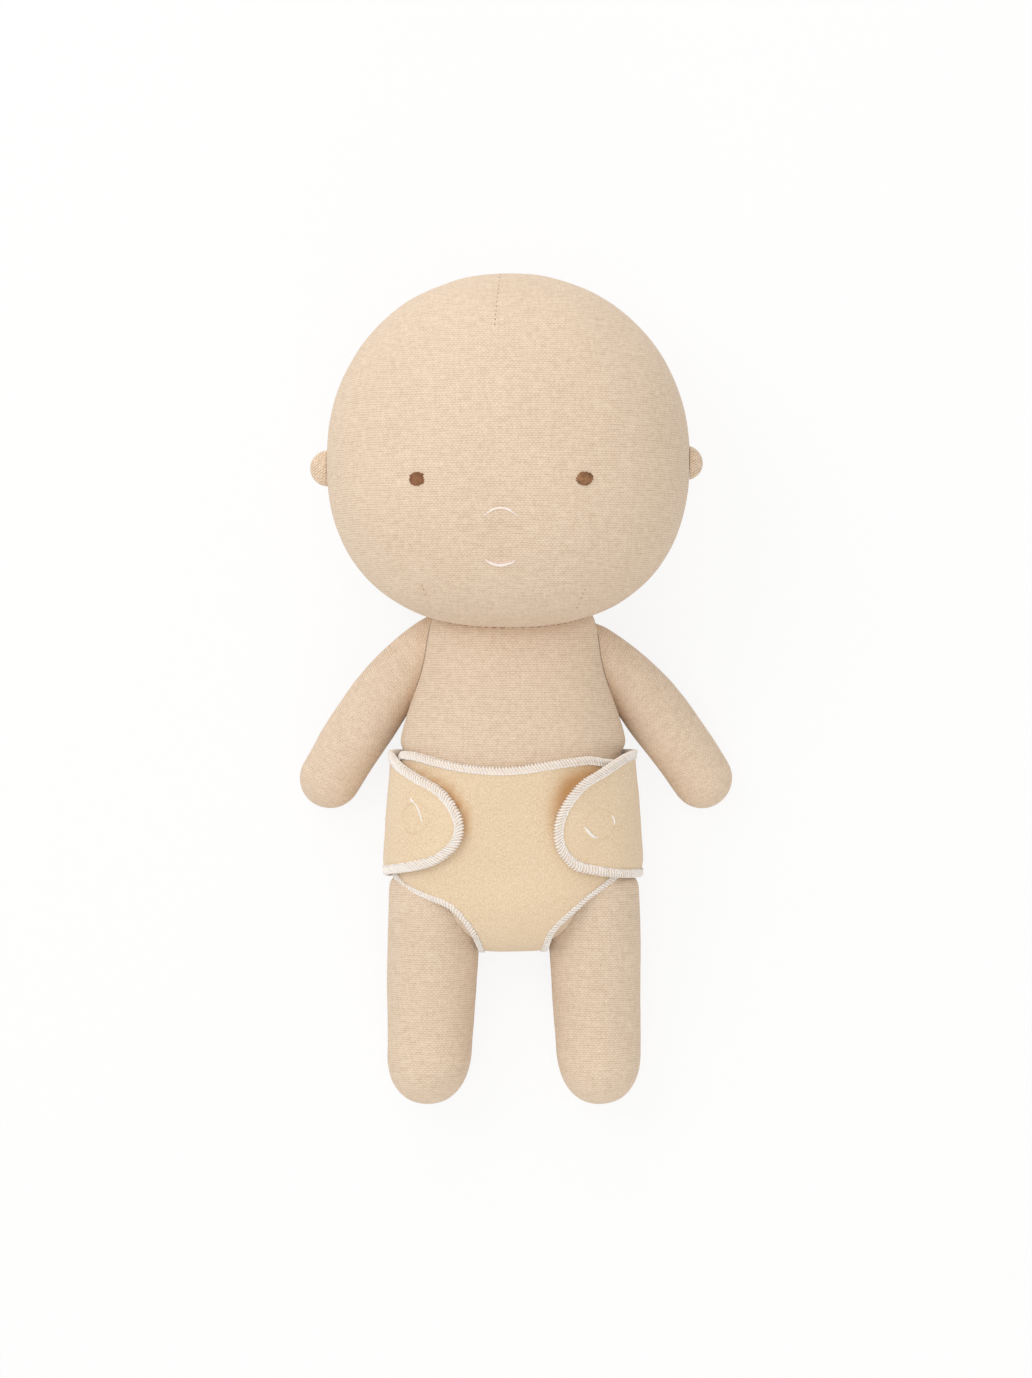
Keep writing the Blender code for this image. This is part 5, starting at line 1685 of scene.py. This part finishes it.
@dataclass
class Studio:
    """The pale floor, the soft light and the camera straight above."""

    height: float = 1.900
    centre: tuple[float, float] = (0.00135, 0.00195)
    framed: float = 0.6132
    ambient: float = 0.61
    fill_tint: tuple[float, float, float] = (1.0, 0.980, 0.945)
    floor_white: float = 0.97
    floor_glow: float = 0.86
    lamps: tuple[Lamp, ...] = (
        Lamp("key", (-0.95, 0.75, 1.55), 1.1, 9.0),
        Lamp("overhead", (0.0, 0.0, 2.4), 1.4, 8.0),
        Lamp("crown_side", (-0.3, 1.8, 0.8), 1.0, 5.2),
        Lamp("foot_side", (0.2, -1.8, 0.9), 1.0, 4.6),
    )

    def camera(self) -> None:
        """Sets the camera where the photograph was taken from."""
        lens = bpy.data.cameras.new("camera")
        lens.sensor_fit = "VERTICAL"
        lens.sensor_height = 36.0
        lens.lens = lens.sensor_height * self.height / self.framed
        lens.clip_start = 0.01
        camera = bpy.data.objects.new("camera", lens)
        camera.location = (*self.centre, self.height)
        bpy.context.scene.collection.objects.link(camera)
        bpy.context.scene.camera = camera

    def floor(self) -> None:
        """Lays a white floor that still takes a soft shadow."""
        bpy.ops.object.select_all(action="DESELECT")
        bpy.ops.mesh.primitive_plane_add(size=6.0, location=(0, 0, -0.0003))
        floor = bpy.context.object
        floor.name = "floor"
        material = bpy.data.materials.new("floor")
        material.use_nodes = True
        tree = material.node_tree
        tree.nodes.clear()
        out = tree.nodes.new("ShaderNodeOutputMaterial")
        matt = tree.nodes.new("ShaderNodeBsdfDiffuse")
        matt.inputs["Color"].default_value = (*[self.floor_white] * 3, 1)
        glow = tree.nodes.new("ShaderNodeEmission")
        glow.inputs["Color"].default_value = (1, 1, 1, 1)
        path = tree.nodes.new("ShaderNodeLightPath")
        seen = tree.nodes.new("ShaderNodeMath")
        seen.operation = "MAXIMUM"
        again = tree.nodes.new("ShaderNodeMath")
        again.operation = "MAXIMUM"
        share = tree.nodes.new("ShaderNodeMath")
        share.operation = "MULTIPLY"
        share.inputs[1].default_value = self.floor_glow
        blend = tree.nodes.new("ShaderNodeMixShader")
        tree.links.new(path.outputs["Is Camera Ray"], seen.inputs[0])
        tree.links.new(path.outputs["Is Glossy Ray"], seen.inputs[1])
        tree.links.new(seen.outputs[0], again.inputs[0])
        tree.links.new(path.outputs["Is Transmission Ray"], again.inputs[1])
        tree.links.new(again.outputs[0], share.inputs[0])
        tree.links.new(share.outputs[0], blend.inputs[0])
        tree.links.new(matt.outputs[0], blend.inputs[1])
        tree.links.new(glow.outputs[0], blend.inputs[2])
        tree.links.new(blend.outputs[0], out.inputs["Surface"])
        floor.data.materials.append(material)

    def light(self) -> None:
        """Lights the doll softly, mostly from the upper left."""
        world = bpy.data.worlds.new("studio")
        bpy.context.scene.world = world
        world.use_nodes = True
        tree = world.node_tree
        tree.nodes.clear()
        out = tree.nodes.new("ShaderNodeOutputWorld")
        sky = tree.nodes.new("ShaderNodeBackground")
        sky.inputs["Color"].default_value = (1, 1, 1, 1)
        path = tree.nodes.new("ShaderNodeLightPath")
        level = tree.nodes.new("ShaderNodeMapRange")
        level.inputs["To Min"].default_value = self.ambient
        level.inputs["To Max"].default_value = 1.0
        tree.links.new(path.outputs["Is Camera Ray"], level.inputs["Value"])
        tree.links.new(level.outputs[0], sky.inputs["Strength"])
        tint = tree.nodes.new("ShaderNodeMix")
        tint.data_type = "RGBA"
        tint.inputs[6].default_value = (*self.fill_tint, 1)
        tint.inputs[7].default_value = (1, 1, 1, 1)
        tree.links.new(path.outputs["Is Camera Ray"], tint.inputs[0])
        tree.links.new(tint.outputs[2], sky.inputs["Color"])
        tree.links.new(sky.outputs[0], out.inputs["Surface"])
        for lamp in self.lamps:
            lamp.hang()


def main() -> None:
    """Builds the doll and the studio, in order."""
    logging.basicConfig(level=logging.INFO, format="%(name)s: %(message)s")
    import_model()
    bpy.context.scene.view_settings.view_transform = "Standard"
    studio = Studio()
    studio.camera()
    doll = Doll()
    head, torso, skin = doll.body()
    doll.face(head)
    doll.seams(head, torso, skin)
    doll.nappy(torso)
    studio.floor()
    studio.light()


if __name__ == "__main__":
    main()
